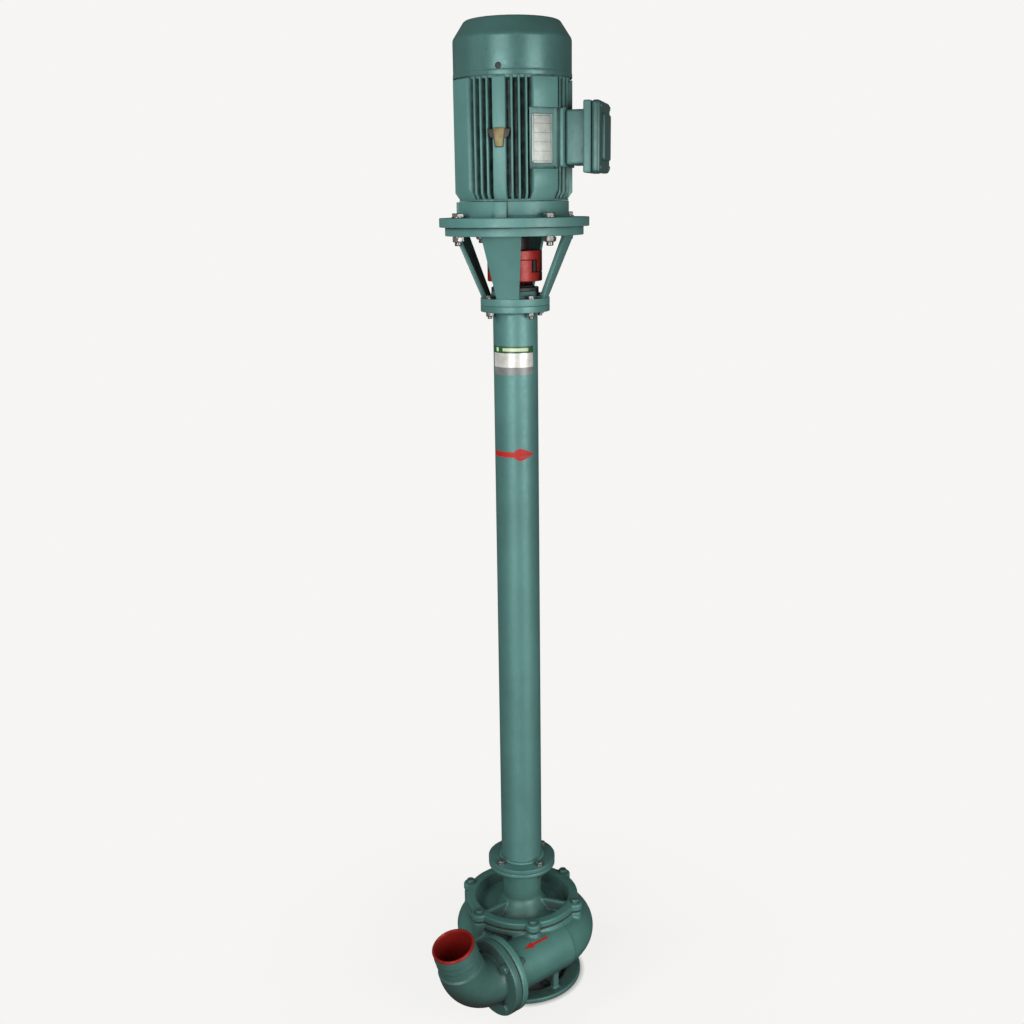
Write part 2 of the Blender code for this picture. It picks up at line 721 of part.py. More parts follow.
def cooling_fan():
    disc = turned("fan_disc", [(0.0096, 1.712), (0.016, 1.712), (0.0175, 1.692), (0.083, 1.692),
                               (0.083, 1.6885), (0.0096, 1.6885)], ROUND)
    blade_angles = [2 * math.pi * i / 8 for i in range(8)]
    blades = boxes_around("fan_blades", blade_angles, (0.020, -0.0014, 1.690), (0.0825, 0.0014, 1.722))
    join(disc, blades)
    return as_part(disc, "cooling_fan", "black_plastic")


def simple_ring(name, slot, inner, outer, low, high, segments=ROUND):
    ring = turned(name + "_ring", [(inner, high), (outer, high), (outer, low), (inner, low)], segments)
    return as_part(ring, name, slot)


def winding(name, low, high):
    middle = (low + high) / 2
    ring = turned(name + "_ring", [(0.0475, middle), (0.052, high), (0.064, high),
                                   (0.0685, middle), (0.064, low), (0.052, low)], ROUND)
    return as_part(ring, name, "copper_enamel")


def bearing(name, low, high, bore, outside):
    """Outer and inner races; the balls and the cage between them are left out."""
    race = (outside - bore) * 0.30
    simple_ring(name + "_outer", "bearing_steel", outside - race, outside, low, high, SMALL)
    simple_ring(name + "_inner", "bearing_steel", bore, bore + race, low, high, SMALL)


def terminal_box():
    back = 0.0953
    face = 0.137
    middle_z = 1.567
    box_body = box("box_body", (back, -0.042, 1.525), (0.134, 0.042, 1.609))
    rim = box("box_rim", (0.1245, -0.050, 1.512), (face, 0.050, 1.622))
    cavity = box("box_cavity", (back + 0.004, -0.038, 1.529), (0.15, 0.038, 1.605))
    lead_hole = rods("box_lead_hole", [Matrix.Translation((0.08, 0, middle_z)) @ Matrix.Rotation(
        math.pi / 2, 4, "Y")], 0.012, 0.03)
    gland_hole = rods("gland_hole", [gland_place(0.03)], 0.0088, 0.03, SMALL)
    join(box_body, rim)
    cut(box_body, cavity, lead_hole, gland_hole)
    return as_part(box_body, "terminal_box", "green_paint")


def terminal_box_lid():
    back = 0.137 + GAP
    lid = box("lid_plate", (back, -0.050, 1.512), (0.152, 0.050, 1.622))
    centre = box("lid_centre", (0.150, -0.031, 1.531), (0.157, 0.031, 1.603))
    hollow = box("lid_hollow", (0.13, -0.038, 1.529), (0.147, 0.038, 1.605))
    join(lid, centre)
    cut(lid, hollow)
    return as_part(lid, "terminal_box_lid", "green_paint")


def terminal_board():
    board = box("board", (0.0996, -0.026, 1.539), (0.106, 0.026, 1.593))
    places = [Matrix.Translation((0.104, 0.016 * column, 1.557 + 0.018 * row)) @ Matrix.Rotation(
        math.pi / 2, 4, "Y") for column in (-1, 0, 1) for row in (0, 1)]
    join(board, rods("terminal_posts", places, 0.0025, 0.016, 8))
    return as_part(board, "terminal_board", "black_plastic")


def gland_place(y):
    return Matrix.Translation((0.1115, y, 1.545)) @ Matrix.Rotation(-math.pi / 2, 4, "X")


def cable_gland():
    wall_face = 0.0423
    gland = turned("gland", [(0.0045, 0.026), (0.0075, 0.026), (0.0105, 0.021), (0.0115, 0.012),
                             (0.0125, 0.011), (0.0125, 0.0), (0.0082, 0.0), (0.0082, -0.0075),
                             (0.0045, -0.0075)], SMALL)
    gland.matrix_world = gland_place(wall_face)
    return as_part(gland, "cable_gland", "black_plastic")


def nameplate():
    plate = boxes_around("plate", [-math.pi / 4], (0.086 + GAP, -0.019, 1.528),
                         (0.0875, 0.019, 1.602))
    return as_part(plate, "motor_nameplate", "plate_metal")


# Rotating pieces

def motor_shaft():
    shaft = turned("upper_shaft", [(0.0, 1.716), (0.0082, 1.716), (0.0092, 1.715), (0.0092, 1.687),
                                   (0.0122, 1.686), (0.0122, 1.656), (0.0150, 1.655),
                                   (0.0150, 1.468), (0.0147, 1.4675), (0.0147, 1.4445),
                                   (0.0137, 1.4435), (0.0137, 1.3785), (0.0127, 1.3775),
                                   (0.0, 1.3775)], SMALL, ring=False)
    return as_part(shaft, "motor_shaft", "bright_steel")


def pump_shaft():
    shaft = turned("lower_shaft", [(0.0, 1.353), (0.0127, 1.353), (0.0137, 1.352), (0.0137, 1.3355),
                                   (0.0150, 1.335), (0.0150, 1.3065), (SHAFT_R, 1.306),
                                   (SHAFT_R, 0.1455), (0.0120, 0.1455), (0.0120, 0.1005),
                                   (0.0078, 0.1003), (0.0078, 0.079), (0.0068, 0.078),
                                   (0.0, 0.078)], SMALL, ring=False)
    return as_part(shaft, "pump_shaft", "bright_steel")


def impeller_nut():
    mesh = fastener_mesh("nut", [(0.0805, 0.024, True), (0.0997, 0.024, True)])
    nut = helper(mesh, "nut")
    cut(nut, rods("nut_bore", [Matrix.Translation((0, 0, 0.06))], 0.0082, 0.06, SMALL))
    return as_part(nut, "impeller_nut", "bright_steel")


def jaws(name, first_angle, low, high):
    bm = bmesh.new()
    for number in range(3):
        add_sector(bm, 0.020, COUPLING_R, first_angle + 2 * math.pi * number / 3,
                   math.radians(21.0), low, high)
    return from_bmesh(bm, name)


def coupling():
    bore = 0.0140
    upper = turned("upper_hub", [(bore, 1.412), (0.0255, 1.412), (0.027, 1.4105), (0.027, 1.391),
                                 (COUPLING_R - 0.0015, 1.391), (COUPLING_R, 1.3895),
                                 (COUPLING_R, 1.3755), (bore, 1.3755)], ROUND)
    join(upper, jaws("upper_jaws", 0.0, 1.3563, 1.380))
    as_part(upper, "coupling_upper_half", "red_paint")
    lower = turned("lower_hub", [(bore, 1.3555), (COUPLING_R, 1.3555), (COUPLING_R, 1.342),
                                 (COUPLING_R - 0.0015, 1.3405), (0.030, 1.3385), (0.027, 1.336),
                                 (bore, 1.336)], ROUND)
    join(lower, jaws("lower_jaws", math.pi / 3, 1.350, 1.3748))
    as_part(lower, "coupling_lower_half", "red_paint")
    spider = turned("spider_ring", [(0.0145, 1.3750), (0.0190, 1.3750), (0.0190, 1.3560),
                                    (0.0145, 1.3560)], SMALL)
    arm_angles = [math.radians(30.0 + 60.0 * i) for i in range(6)]
    arms = boxes_around("spider_arms", arm_angles, (0.017, -0.0026, 1.3562), (0.0455, 0.0026, 1.3748))
    join(spider, arms)
    as_part(spider, "coupling_spider", "rubber")


# Everything, from the top down

def fasteners():
    flange = fastener_mesh("flange_bolt", bolt_sections(0.006, 0.018, 0.0075, FLANGE_TOP - 1.4150
                                                        + 2 * GAP))
    place_fasteners("motor_flange_bolt", flange, flange_bolt_places(FLANGE_TOP + GAP))
    top = fastener_mesh("top_bolt", bolt_sections(0.004, 0.013, 0.0055, 1.3125 - 1.290 + 2 * GAP))
    place_fasteners("column_top_bolt", top, top_bolt_places(1.3125 + GAP))
    foot_head = COLUMN_LOW + 0.008
    foot = fastener_mesh("foot_bolt", bolt_sections(0.004, 0.013, 0.0055,
                                                    foot_head - NECK_FLANGE_LOW + 2 * GAP))
    place_fasteners("column_foot_bolt", foot, foot_bolt_places(foot_head + GAP))
    cover = fastener_mesh("cover_bolt", screw_sections(0.004, 0.014, 0.0062, 0.0265))
    place_fasteners("cover_bolt", cover,
                    upright_places(6, BOSS_CIRCLE, COVER_TOP + 0.0006 + GAP, PUMP_TURN),
                    "green_paint")
    grip = 2 * NOZZLE_FLANGE_THICK + ELBOW_FACE - NOZZLE_FACE + 2 * GAP
    discharge = fastener_mesh("discharge_bolt", bolt_sections(0.005, 0.016, 0.0066, grip))
    place_fasteners("discharge_bolt", discharge, nozzle_bolt_places(ELBOW_START + GAP),
                    "green_paint")


def build():
    fan_cowl()
    cooling_fan()
    upper_end_shield()
    motor_frame()
    simple_ring("stator_core", "core_steel", 0.0470, 0.0738, 1.500, 1.620)
    winding("upper_winding", 1.620 + GAP, 1.645)
    winding("lower_winding", 1.475, 1.500 - GAP)
    simple_ring("rotor_core", "core_steel", 0.0153, 0.0460, 1.498, 1.622)
    motor_shaft()
    bearing("upper_motor_bearing", 1.6610, 1.6757, 0.0125, 0.0259)
    bearing("lower_motor_bearing", 1.4463, 1.4623, 0.0150, 0.0310)
    motor_flange()
    terminal_box()
    terminal_box_lid()
    terminal_board()
    cable_gland()
    nameplate()
    coupling()
    lantern()
    bearing_cap()
    bearing("column_bearing", 1.3078, 1.3235, 0.0153, 0.0310)
    column_pipe()
    pump_shaft()
    simple_ring("lower_bush", "bronze", 0.0174, 0.0269, 0.192, 0.238, SMALL)
    simple_ring("shaft_seal", "rubber", 0.0174, 0.0269, 0.1765, 0.1865, SMALL)
    pump_cover()
    ring_gasket()
    impeller()
    impeller_nut()
    volute_casing()
    suction_base()
    discharge_gasket()
    discharge_elbow()
    fasteners()
    lower_to_foot()


def lower_to_foot():
    """Brings the foot ring's underside to height 0, the helpers with the parts."""
    for piece in [*PARTS.objects, *CUTTERS.objects]:
        piece.location.z -= FOOT_LOW


build()
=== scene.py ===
"""Looks of the pedestal sump pump: fine meshes, paint, trim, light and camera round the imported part.

Metres, in the part's own frame: +Z up the shaft, +X to the terminal box, the foot on z = 0. Each
fine piece stands for one CAD node, takes its heights from that node's box, and rides on its body.
"""

import math

import bmesh
import bpy
from mathutils import Matrix, Vector

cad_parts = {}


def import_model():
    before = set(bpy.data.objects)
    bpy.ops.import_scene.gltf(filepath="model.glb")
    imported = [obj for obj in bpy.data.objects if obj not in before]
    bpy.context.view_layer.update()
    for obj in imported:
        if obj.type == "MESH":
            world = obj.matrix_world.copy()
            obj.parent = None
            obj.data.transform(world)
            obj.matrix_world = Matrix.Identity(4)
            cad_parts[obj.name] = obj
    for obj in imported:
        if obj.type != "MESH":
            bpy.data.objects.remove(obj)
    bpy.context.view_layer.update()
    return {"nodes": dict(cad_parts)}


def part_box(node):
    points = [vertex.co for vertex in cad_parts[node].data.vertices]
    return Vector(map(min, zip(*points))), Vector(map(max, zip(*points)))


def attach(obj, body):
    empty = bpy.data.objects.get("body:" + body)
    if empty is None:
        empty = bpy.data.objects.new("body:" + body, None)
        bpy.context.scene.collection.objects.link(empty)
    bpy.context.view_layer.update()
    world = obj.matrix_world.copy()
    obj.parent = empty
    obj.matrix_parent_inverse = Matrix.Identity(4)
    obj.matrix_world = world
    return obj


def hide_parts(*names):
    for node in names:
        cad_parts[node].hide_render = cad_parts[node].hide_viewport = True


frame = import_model()

FRAME_BODY = "frame"
ROTOR_BODY = "rotor"

# Smoothness of round pieces, and how far apart touching pieces stand.
ROUND = 96
SMALL_ROUND = 48
GAP = 0.0003

# Heights in this script are from the layout's datum, which is FOOT_LOW under the foot ring. Each
# finished piece is lowered by that much, so that the foot stands on z = 0.
FOOT_LOW = 0.013

# The pump end is built round the discharge's direction.
PUMP_TURN = math.radians(233.5)
OUT = Vector((math.cos(PUMP_TURN), math.sin(PUMP_TURN), 0.0))
SIDE = Vector((math.cos(PUMP_TURN + math.pi / 2), math.sin(PUMP_TURN + math.pi / 2), 0.0))
UP = Vector((0.0, 0.0, 1.0))


def low_of(node):
    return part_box(node)[0].z + FOOT_LOW


def top_of(node):
    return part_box(node)[1].z + FOOT_LOW


# Mesh helpers

def mesh_object(name, bm, sharp=32.0):
    """An object from a bmesh: smooth, with edges sharper than the given angle kept crisp."""
    mesh = bpy.data.meshes.new(name)
    bmesh.ops.recalc_face_normals(bm, faces=bm.faces)
    bm.to_mesh(mesh)
    bm.free()
    mesh.shade_smooth()
    mesh.set_sharp_from_angle(angle=math.radians(sharp))
    made = bpy.data.objects.new(name, mesh)
    bpy.context.scene.collection.objects.link(made)
    return made


def rounded(profile, radius, closed=True, steps=4):
    """A profile with each corner eased by the radius, or by less where its sides are short."""
    points = [Vector(point) for point in profile]
    count = len(points)
    eased = []
    for i, corner in enumerate(points):
        if not closed and i in (0, count - 1):
            eased.append(corner)
            continue
        before = points[i - 1]
        after = points[(i + 1) % count]
        back = min(radius, (before - corner).length * 0.45)
        ahead = min(radius, (after - corner).length * 0.45)
        start = corner + (before - corner).normalized() * back
        end = corner + (after - corner).normalized() * ahead
        for step in range(steps + 1):
            share = step / steps
            eased.append(start.lerp(corner, share).lerp(corner.lerp(end, share), share))
    return [tuple(point) for point in eased]


def add_lathe(bm, profile, segments, place=None, closed=True):
    """Turns a (radius, height) profile about Z; a profile that isn't closed starts and ends on Z."""
    place = place or Matrix.Identity(4)
    rings = []
    for radius, height in profile:
        if radius < 1e-7:
            rings.append([bm.verts.new(place @ Vector((0.0, 0.0, height)))])
            continue
        ring = []
        for i in range(segments):
            angle = 2 * math.pi * i / segments
            point = Vector((radius * math.cos(angle), radius * math.sin(angle), height))
            ring.append(bm.verts.new(place @ point))
        rings.append(ring)
    pairs = list(zip(rings, rings[1:]))
    if closed:
        pairs.append((rings[-1], rings[0]))
    for first, second in pairs:
        for i in range(segments):
            j = (i + 1) % segments
            corners = [first[i % len(first)], first[j % len(first)],
                       second[j % len(second)], second[i % len(second)]]
            corners = list(dict.fromkeys(corners))
            if len(corners) > 2:
                bm.faces.new(corners)


def lathe(name, profile, segments=ROUND, closed=True, place=None):
    bm = bmesh.new()
    add_lathe(bm, profile, segments, place, closed)
    return mesh_object(name, bm)


def turned(name, profile, soft, segments=ROUND, place=None):
    """A lathed piece with eased corners; it is solid if its profile starts on the axis."""
    ring = profile[0][0] > 1e-7
    return lathe(name, rounded(profile, soft, ring), segments, ring, place)


def add_box(bm, low, high, place=None, soft=0.0, steps=2):
    """A box between two corners, with its edges rounded by soft."""
    place = place or Matrix.Identity(4)
    size = [high[i] - low[i] for i in range(3)]
    middle = [(high[i] + low[i]) / 2 for i in range(3)]
    shape = place @ Matrix.Translation(middle) @ Matrix.Diagonal((*size, 1.0))
    made = bmesh.ops.create_cube(bm, size=1.0, matrix=shape)
    if soft:
        edges = list({edge for vert in made["verts"] for edge in vert.link_edges})
        bmesh.ops.bevel(bm, geom=edges, offset=soft, segments=steps, profile=0.5, affect="EDGES")


def soft_box(name, low, high, soft, place=None, steps=3):
    bm = bmesh.new()
    add_box(bm, low, high, place, soft, steps)
    return mesh_object(name, bm)


def around(angle):
    return Matrix.Rotation(angle, 4, "Z")


def boxes_around(angles, low, high, soft=0.0):
    bm = bmesh.new()
    for angle in angles:
        add_box(bm, low, high, around(angle), soft)
    return mesh_object("boxes", bm)


def add_rod(bm, place, radius, length, segments=SMALL_ROUND):
    shape = place @ Matrix.Translation((0, 0, length / 2))
    bmesh.ops.create_cone(bm, cap_ends=True, segments=segments, radius1=radius, radius2=radius,
                          depth=length, matrix=shape)


def rods(places, radius, length, segments=SMALL_ROUND):
    bm = bmesh.new()
    for place in places:
        add_rod(bm, place, radius, length, segments)
    return mesh_object("rods", bm)


def ring_places(count, circle, height, first_angle):
    step = 2 * math.pi / count
    return [around(first_angle + i * step) @ Matrix.Translation((circle, 0, height))
            for i in range(count)]


def add_prism(bm, outline, low, high):
    """A flat (x, y) outline raised between two heights."""
    lower = [bm.verts.new((x, y, low)) for x, y in outline]
    upper = [bm.verts.new((x, y, high)) for x, y in outline]
    count = len(outline)
    for i in range(count):
        j = (i + 1) % count
        bm.faces.new((lower[i], lower[j], upper[j], upper[i]))
    bm.faces.new(lower[::-1])
    bm.faces.new(upper)


def arc(radius, start, end, steps):
    return [(radius * math.cos(start + (end - start) * i / steps),
             radius * math.sin(start + (end - start) * i / steps)) for i in range(steps + 1)]


def sector(inner, outer, middle, half, steps):
    return (arc(outer, middle - half, middle + half, steps)
            + arc(inner, middle + half, middle - half, steps))


def loft(name, rings, capped=True, looped=False, sharp=32.0):
    """A tube through rings of points: capped closes its ends, looped joins the last ring to the first."""
    bm = bmesh.new()
    loops = [[bm.verts.new(point) for point in ring] for ring in rings]
    count = len(loops[0])
    following = loops[1:] + (loops[:1] if looped else [])
    for lower, upper in zip(loops, following):
        for i in range(count):
            j = (i + 1) % count
            bm.faces.new((lower[i], lower[j], upper[j], upper[i]))
    if capped:
        bm.faces.new(loops[0][::-1])
        bm.faces.new(loops[-1])
    return mesh_object(name, bm, sharp)


def applied(piece, sharp=32.0):
    """Makes a piece's modifiers real and puts its crisp edges back."""
    bpy.context.view_layer.update()
    graph = bpy.context.evaluated_depsgraph_get()
    mesh = bpy.data.meshes.new_from_object(piece.evaluated_get(graph))
    piece.modifiers.clear()
    piece.data = mesh
    mesh.shade_smooth()
    mesh.set_sharp_from_angle(angle=math.radians(sharp))
    return piece


def combined(piece, operation, tools):
    for tool in tools:
        step = piece.modifiers.new("step", "BOOLEAN")
        step.operation = operation
        step.solver = "EXACT"
        step.object = tool
    applied(piece)
    for tool in tools:
        bpy.data.objects.remove(tool, do_unlink=True)
    return piece


def join(piece, *tools):
    return combined(piece, "UNION", tools)


def cut(piece, *tools):
    return combined(piece, "DIFFERENCE", tools)


def eased(piece, width, angle=35.0, steps=2):
    """Rounds a piece's sharp edges by a small width."""
    bevel = piece.modifiers.new("eased", "BEVEL")
    bevel.width = width
    bevel.segments = steps
    bevel.limit_method = "ANGLE"
    bevel.angle_limit = math.radians(angle)
    bevel.miter_outer = "MITER_ARC"
    return applied(piece, 50.0)


def cast(piece, grain, rounds):
    """Gives a piece the run-together corners of a sand casting."""
    remesh = piece.modifiers.new("cast", "REMESH")
    remesh.mode = "VOXEL"
    remesh.voxel_size = grain
    smooth = piece.modifiers.new("smooth", "SMOOTH")
    smooth.factor = 0.5
    smooth.iterations = rounds
    return applied(piece, 60.0)


def finished(piece, material, *nodes, body=FRAME_BODY):
    """Paints a piece, hides the CAD nodes it stands for, and fixes it to its body."""
    piece.data.materials.clear()
    piece.data.materials.append(material)
    for face in piece.data.polygons:
        face.material_index = 0
    if nodes:
        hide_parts(*nodes)
    piece.location.z -= FOOT_LOW
    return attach(piece, body)


# Materials

class Nodes:
    """A material's node tree, with short ways to add and link nodes."""

    def __init__(self, name):
        self.material = bpy.data.materials.new(name)
        self.material.use_nodes = True
        self.tree = self.material.node_tree
        self.shader = self.tree.nodes["Principled BSDF"]
        self.place = self.add("ShaderNodeTexCoord").outputs["Object"]

    def add(self, kind, **settings):
        node = self.tree.nodes.new(kind)
        for key, value in settings.items():
            setattr(node, key, value)
        return node

    def link(self, start, end):
        self.tree.links.new(start, end)

    def feed(self, socket, value):
        if isinstance(value, (int, float, tuple)):
            socket.default_value = value
        else:
            self.link(value, socket)

    def noise(self, scale, detail=4.0, roughness=0.55, stretch=None):
        node = self.add("ShaderNodeTexNoise")
        node.inputs["Scale"].default_value = scale
        node.inputs["Detail"].default_value = detail
        node.inputs["Roughness"].default_value = roughness
        place = self.place
        if stretch:
            mapping = self.add("ShaderNodeMapping")
            mapping.inputs["Scale"].default_value = stretch
            self.link(place, mapping.inputs["Vector"])
            place = mapping.outputs["Vector"]
        self.link(place, node.inputs["Vector"])
        return node.outputs["Fac"]

    def levels(self, value, low, high, bottom=0.0, top=1.0):
        node = self.add("ShaderNodeMapRange", clamp=True)
        self.link(value, node.inputs["Value"])
        node.inputs["From Min"].default_value = low
        node.inputs["From Max"].default_value = high
        node.inputs["To Min"].default_value = bottom
        node.inputs["To Max"].default_value = top
        return node.outputs["Result"]

    def maths(self, operation, first, second):
        node = self.add("ShaderNodeMath", operation=operation, use_clamp=True)
        self.feed(node.inputs[0], first)
        self.feed(node.inputs[1], second)
        return node.outputs["Value"]

    def mix(self, share, first, second):
        node = self.add("ShaderNodeMix", data_type="RGBA")
        colours = [socket for socket in node.inputs if socket.type == "RGBA"]
        self.feed(node.inputs["Factor"], share)
        self.feed(colours[0], first)
        self.feed(colours[1], second)
        return next(socket for socket in node.outputs if socket.type == "RGBA")

    def edges(self, radius):
        """Close to 1 on a convex or concave edge narrower than the radius, 0 on open faces."""
        bevel = self.add("ShaderNodeBevel", samples=4)
        bevel.inputs["Radius"].default_value = radius
        geometry = self.add("ShaderNodeNewGeometry")
        dot = self.add("ShaderNodeVectorMath", operation="DOT_PRODUCT")
        self.link(bevel.outputs["Normal"], dot.inputs[0])
        self.link(geometry.outputs["Normal"], dot.inputs[1])
        return self.levels(dot.outputs["Value"], 0.995, 0.90)

    def occlusion_shade(self, reach):
        """A painted-shade mask from ambient occlusion: close to 1 in corners and gaps, 0 in the open."""
        node = self.add("ShaderNodeAmbientOcclusion", samples=6)
        node.inputs["Distance"].default_value = reach
        return self.levels(node.outputs["AO"], 0.85, 0.25)

    def bump(self, *layers):
        """Layers are (height, strength, distance), laid on each other."""
        normal = None
        for height, strength, distance in layers:
            node = self.add("ShaderNodeBump")
            node.inputs["Strength"].default_value = strength
            node.inputs["Distance"].default_value = distance
            self.link(height, node.inputs["Height"])
            if normal is not None:
                self.link(normal, node.inputs["Normal"])
            normal = node.outputs["Normal"]
        self.link(normal, self.shader.inputs["Normal"])


def tint(colour, share):
    return tuple(min(1.0, channel * share) for channel in colour[:3]) + (1.0,)


# Dark colours for painted shade in corners and on faces that look down, mottled like earth and dust.
SHADE_AND_SOIL = (0.020, 0.023, 0.020, 1.0)
DUST_AND_SHADE = (0.052, 0.052, 0.045, 1.0)


def enamel(name, colour, bare, grain, roughness=0.36, wear=0.5, coat=0.25, metallic=0.4,
           gap=0.012, shade_and_grime=0.72, shade_and_soil=SHADE_AND_SOIL, underside_shade=0.0, shade_above=None):
    """Brushed or sprayed enamel: uneven colour, painted shade in corners, worn edges, a cast or rolled
    skin.

    A share of painted shade darkens faces that look down, and the last argument is a height above
    which the piece takes a dark colour that stands for shade.
    """
    n = Nodes(name)
    broad = n.levels(n.noise(7.0, 3.0), 0.35, 0.65)
    streaks = n.levels(n.noise(26.0, 5.0, 0.6, (1.0, 1.0, 0.25)), 0.35, 0.70)
    paint = n.mix(broad, tint(colour, 0.86), tint(colour, 1.10))
    paint = n.mix(n.maths("MULTIPLY", streaks, 0.35), paint, tint(colour, 0.70))
    # Painted shade: corners and gaps, found by ambient occlusion, darken towards the dark colour, mottled
    # by noise.
    shade_and_dirt = n.maths("MULTIPLY", n.occlusion_shade(gap), n.levels(n.noise(60.0, 6.0), 0.3, 0.6, 0.45, 1.0))
    paint = n.mix(n.maths("MULTIPLY", shade_and_dirt, shade_and_grime), paint, shade_and_soil)
    # Painted shade on faces that look down.
    if underside_shade:
        looks = n.add("ShaderNodeSeparateXYZ")
        n.link(n.add("ShaderNodeNewGeometry").outputs["Normal"], looks.inputs["Vector"])
        down = n.levels(looks.outputs["Z"], -0.10, -0.60)
        paint = n.mix(n.maths("MULTIPLY", down, underside_shade), paint, tint(shade_and_soil, 0.5))
    chips = n.levels(n.noise(95.0, 7.0, 0.7), 0.50, 0.66)
    worn = n.maths("MULTIPLY", n.maths("MULTIPLY", n.edges(0.0011), chips), wear)
    paint = n.mix(worn, paint, bare)
    # Painted shade: above the given height the piece takes the dark colour.
    if shade_above:
        height, dark = shade_above
        split = n.add("ShaderNodeSeparateXYZ")
        n.link(n.place, split.inputs["Vector"])
        paint = n.mix(n.levels(split.outputs["Z"], height - 0.0006, height + 0.0006), paint, dark)
    n.link(paint, n.shader.inputs["Base Color"])
    skin = n.levels(n.noise(130.0, 4.0), 0.3, 0.7, roughness - 0.07, roughness + 0.09)
    n.link(n.maths("ADD", skin, n.maths("MULTIPLY", shade_and_dirt, 0.25)), n.shader.inputs["Roughness"])
    n.shader.inputs["Metallic"].default_value = metallic
    n.shader.inputs["Coat Weight"].default_value = coat
    n.shader.inputs["Coat Roughness"].default_value = 0.30
    coarse = n.noise(150.0, 5.0, 0.6)
    swell = n.noise(34.0, 3.0)
    n.bump((swell, 0.30, 0.0006 * grain), (coarse, 0.35, 0.00022 * grain))
    return n.material


def plated(name, colour, dark, roughness, scratch=1.0):
    """Bare or plated steel: soft blotches, fine scratches, painted shade in the corners."""
    n = Nodes(name)
    blotch = n.levels(n.noise(90.0, 5.0), 0.35, 0.7)
    metal = n.mix(blotch, colour, tint(colour, 0.78))
    # Painted shade: corners and gaps darken towards the dark colour.
    metal = n.mix(n.maths("MULTIPLY", n.occlusion_shade(0.006), 0.75), metal, dark)
    n.link(metal, n.shader.inputs["Base Color"])
    n.shader.inputs["Metallic"].default_value = 1.0
    fine = n.noise(420.0, 3.0, 0.6, (1.0, 1.0, 7.0))
    n.link(n.levels(fine, 0.3, 0.7, roughness - 0.06, roughness + 0.10), n.shader.inputs["Roughness"])
    n.bump((fine, 0.22 * scratch, 0.00008), (n.noise(60.0, 3.0), 0.15, 0.00015))
    return n.material


def plain(name, colour, roughness, scale, depth, metallic=0.0):
    """Plastic, rubber, fibre and printed sheet: mottled colour, a fine grain and painted shade in the
    corners.
    """
    n = Nodes(name)
    mottle = n.levels(n.noise(scale, 5.0), 0.35, 0.65)
    base = n.mix(mottle, tint(colour, 0.80), tint(colour, 1.18))
    # Painted shade: corners and gaps darken to a quarter of the colour.
    base = n.mix(n.maths("MULTIPLY", n.occlusion_shade(0.006), 0.6), base, tint(colour, 0.25))
    n.link(base, n.shader.inputs["Base Color"])
    n.shader.inputs["Metallic"].default_value = metallic
    fine = n.noise(scale * 6.0, 4.0)
    n.link(n.levels(fine, 0.3, 0.7, roughness - 0.06, roughness + 0.08), n.shader.inputs["Roughness"])
    n.bump((fine, 0.3, depth))
    return n.material


TEAL = (0.100, 0.245, 0.225, 1.0)
PRIMER = (0.30, 0.40, 0.37, 1.0)
RED = (0.34, 0.018, 0.012, 1.0)

PUMP_TEAL = (0.088, 0.238, 0.208, 1.0)
# A darker teal for the elbow alone: painted shade, where less light reaches it.
ELBOW_SHADED_TEAL = (0.064, 0.162, 0.142, 1.0)
RED_BARE = (0.55, 0.20, 0.16, 1.0)
MARK_RED = (0.46, 0.012, 0.008, 1.0)
BOLT_BARE = (0.30, 0.30, 0.28, 1.0)

# Painted shade: the upper coupling half is painted dark above this height, under the motor flange.
COUPLING_SHADE_TOP = 1.3905
COUPLING_SHADE = (0.022, 0.010, 0.009, 1.0)

CAST = {"bare": PRIMER, "grain": 1.6, "roughness": 0.50, "wear": 0.55, "coat": 0.15, "metallic": 0.2}
# The pump end takes a wide reach and a strong share of painted shade, to darken its recesses.
PUMP_END = {"bare": PRIMER, "grain": 1.6, "wear": 0.55, "metallic": 0.25, "gap": 0.060, "shade_and_grime": 0.90,
            "shade_and_soil": DUST_AND_SHADE}
PAINT_CAST = enamel("green_cast", TEAL, **CAST)
# The fins take painted shade deep into the gaps between them.
PAINT_FINS = enamel("green_fins", TEAL, **CAST, gap=0.035, shade_and_grime=0.97)
PAINT_PUMP = enamel("green_pump", PUMP_TEAL, roughness=0.48, coat=0.15, underside_shade=0.6, **PUMP_END)
# The elbow paint: painted shade in its darker teal, and strong painted shade on faces that look down.
PAINT_ELBOW_SHADED = enamel("green_elbow_shaded", ELBOW_SHADED_TEAL, roughness=0.42, coat=0.25, underside_shade=0.95, **PUMP_END)
# The lantern takes a wide reach of painted shade on the insides of its legs.
PAINT_LANTERN = enamel("green_lantern", TEAL, PRIMER, 1.3, roughness=0.50, wear=0.55, coat=0.15,
                       metallic=0.2, gap=0.060, shade_and_grime=0.92)
PAINT_BOX = enamel("green_box", tint(TEAL, 0.80), PRIMER, 1.2, roughness=0.50, wear=0.55, coat=0.15,
                   metallic=0.25)
PAINT_PIPE = enamel("green_pipe", TEAL, PRIMER, 0.35, roughness=0.50, wear=0.35, coat=0.15)
PAINT_SHEET = enamel("green_sheet", tint(TEAL, 0.76), PRIMER, 0.35, roughness=0.34, wear=0.35, coat=0.18)
PAINT_BOLT = enamel("green_bolt", tint(TEAL, 0.62), BOLT_BARE, 0.5, roughness=0.42, wear=0.7, coat=0.15,
                    metallic=0.3)
PAINT_DARK = enamel("green_lid", tint(TEAL, 0.55), PRIMER, 0.8, roughness=0.42, wear=0.45)
PAINT_RED = enamel("red_enamel", RED, RED_BARE, 0.9, roughness=0.42, coat=0.15, shade_and_soil=tint(RED, 0.12))
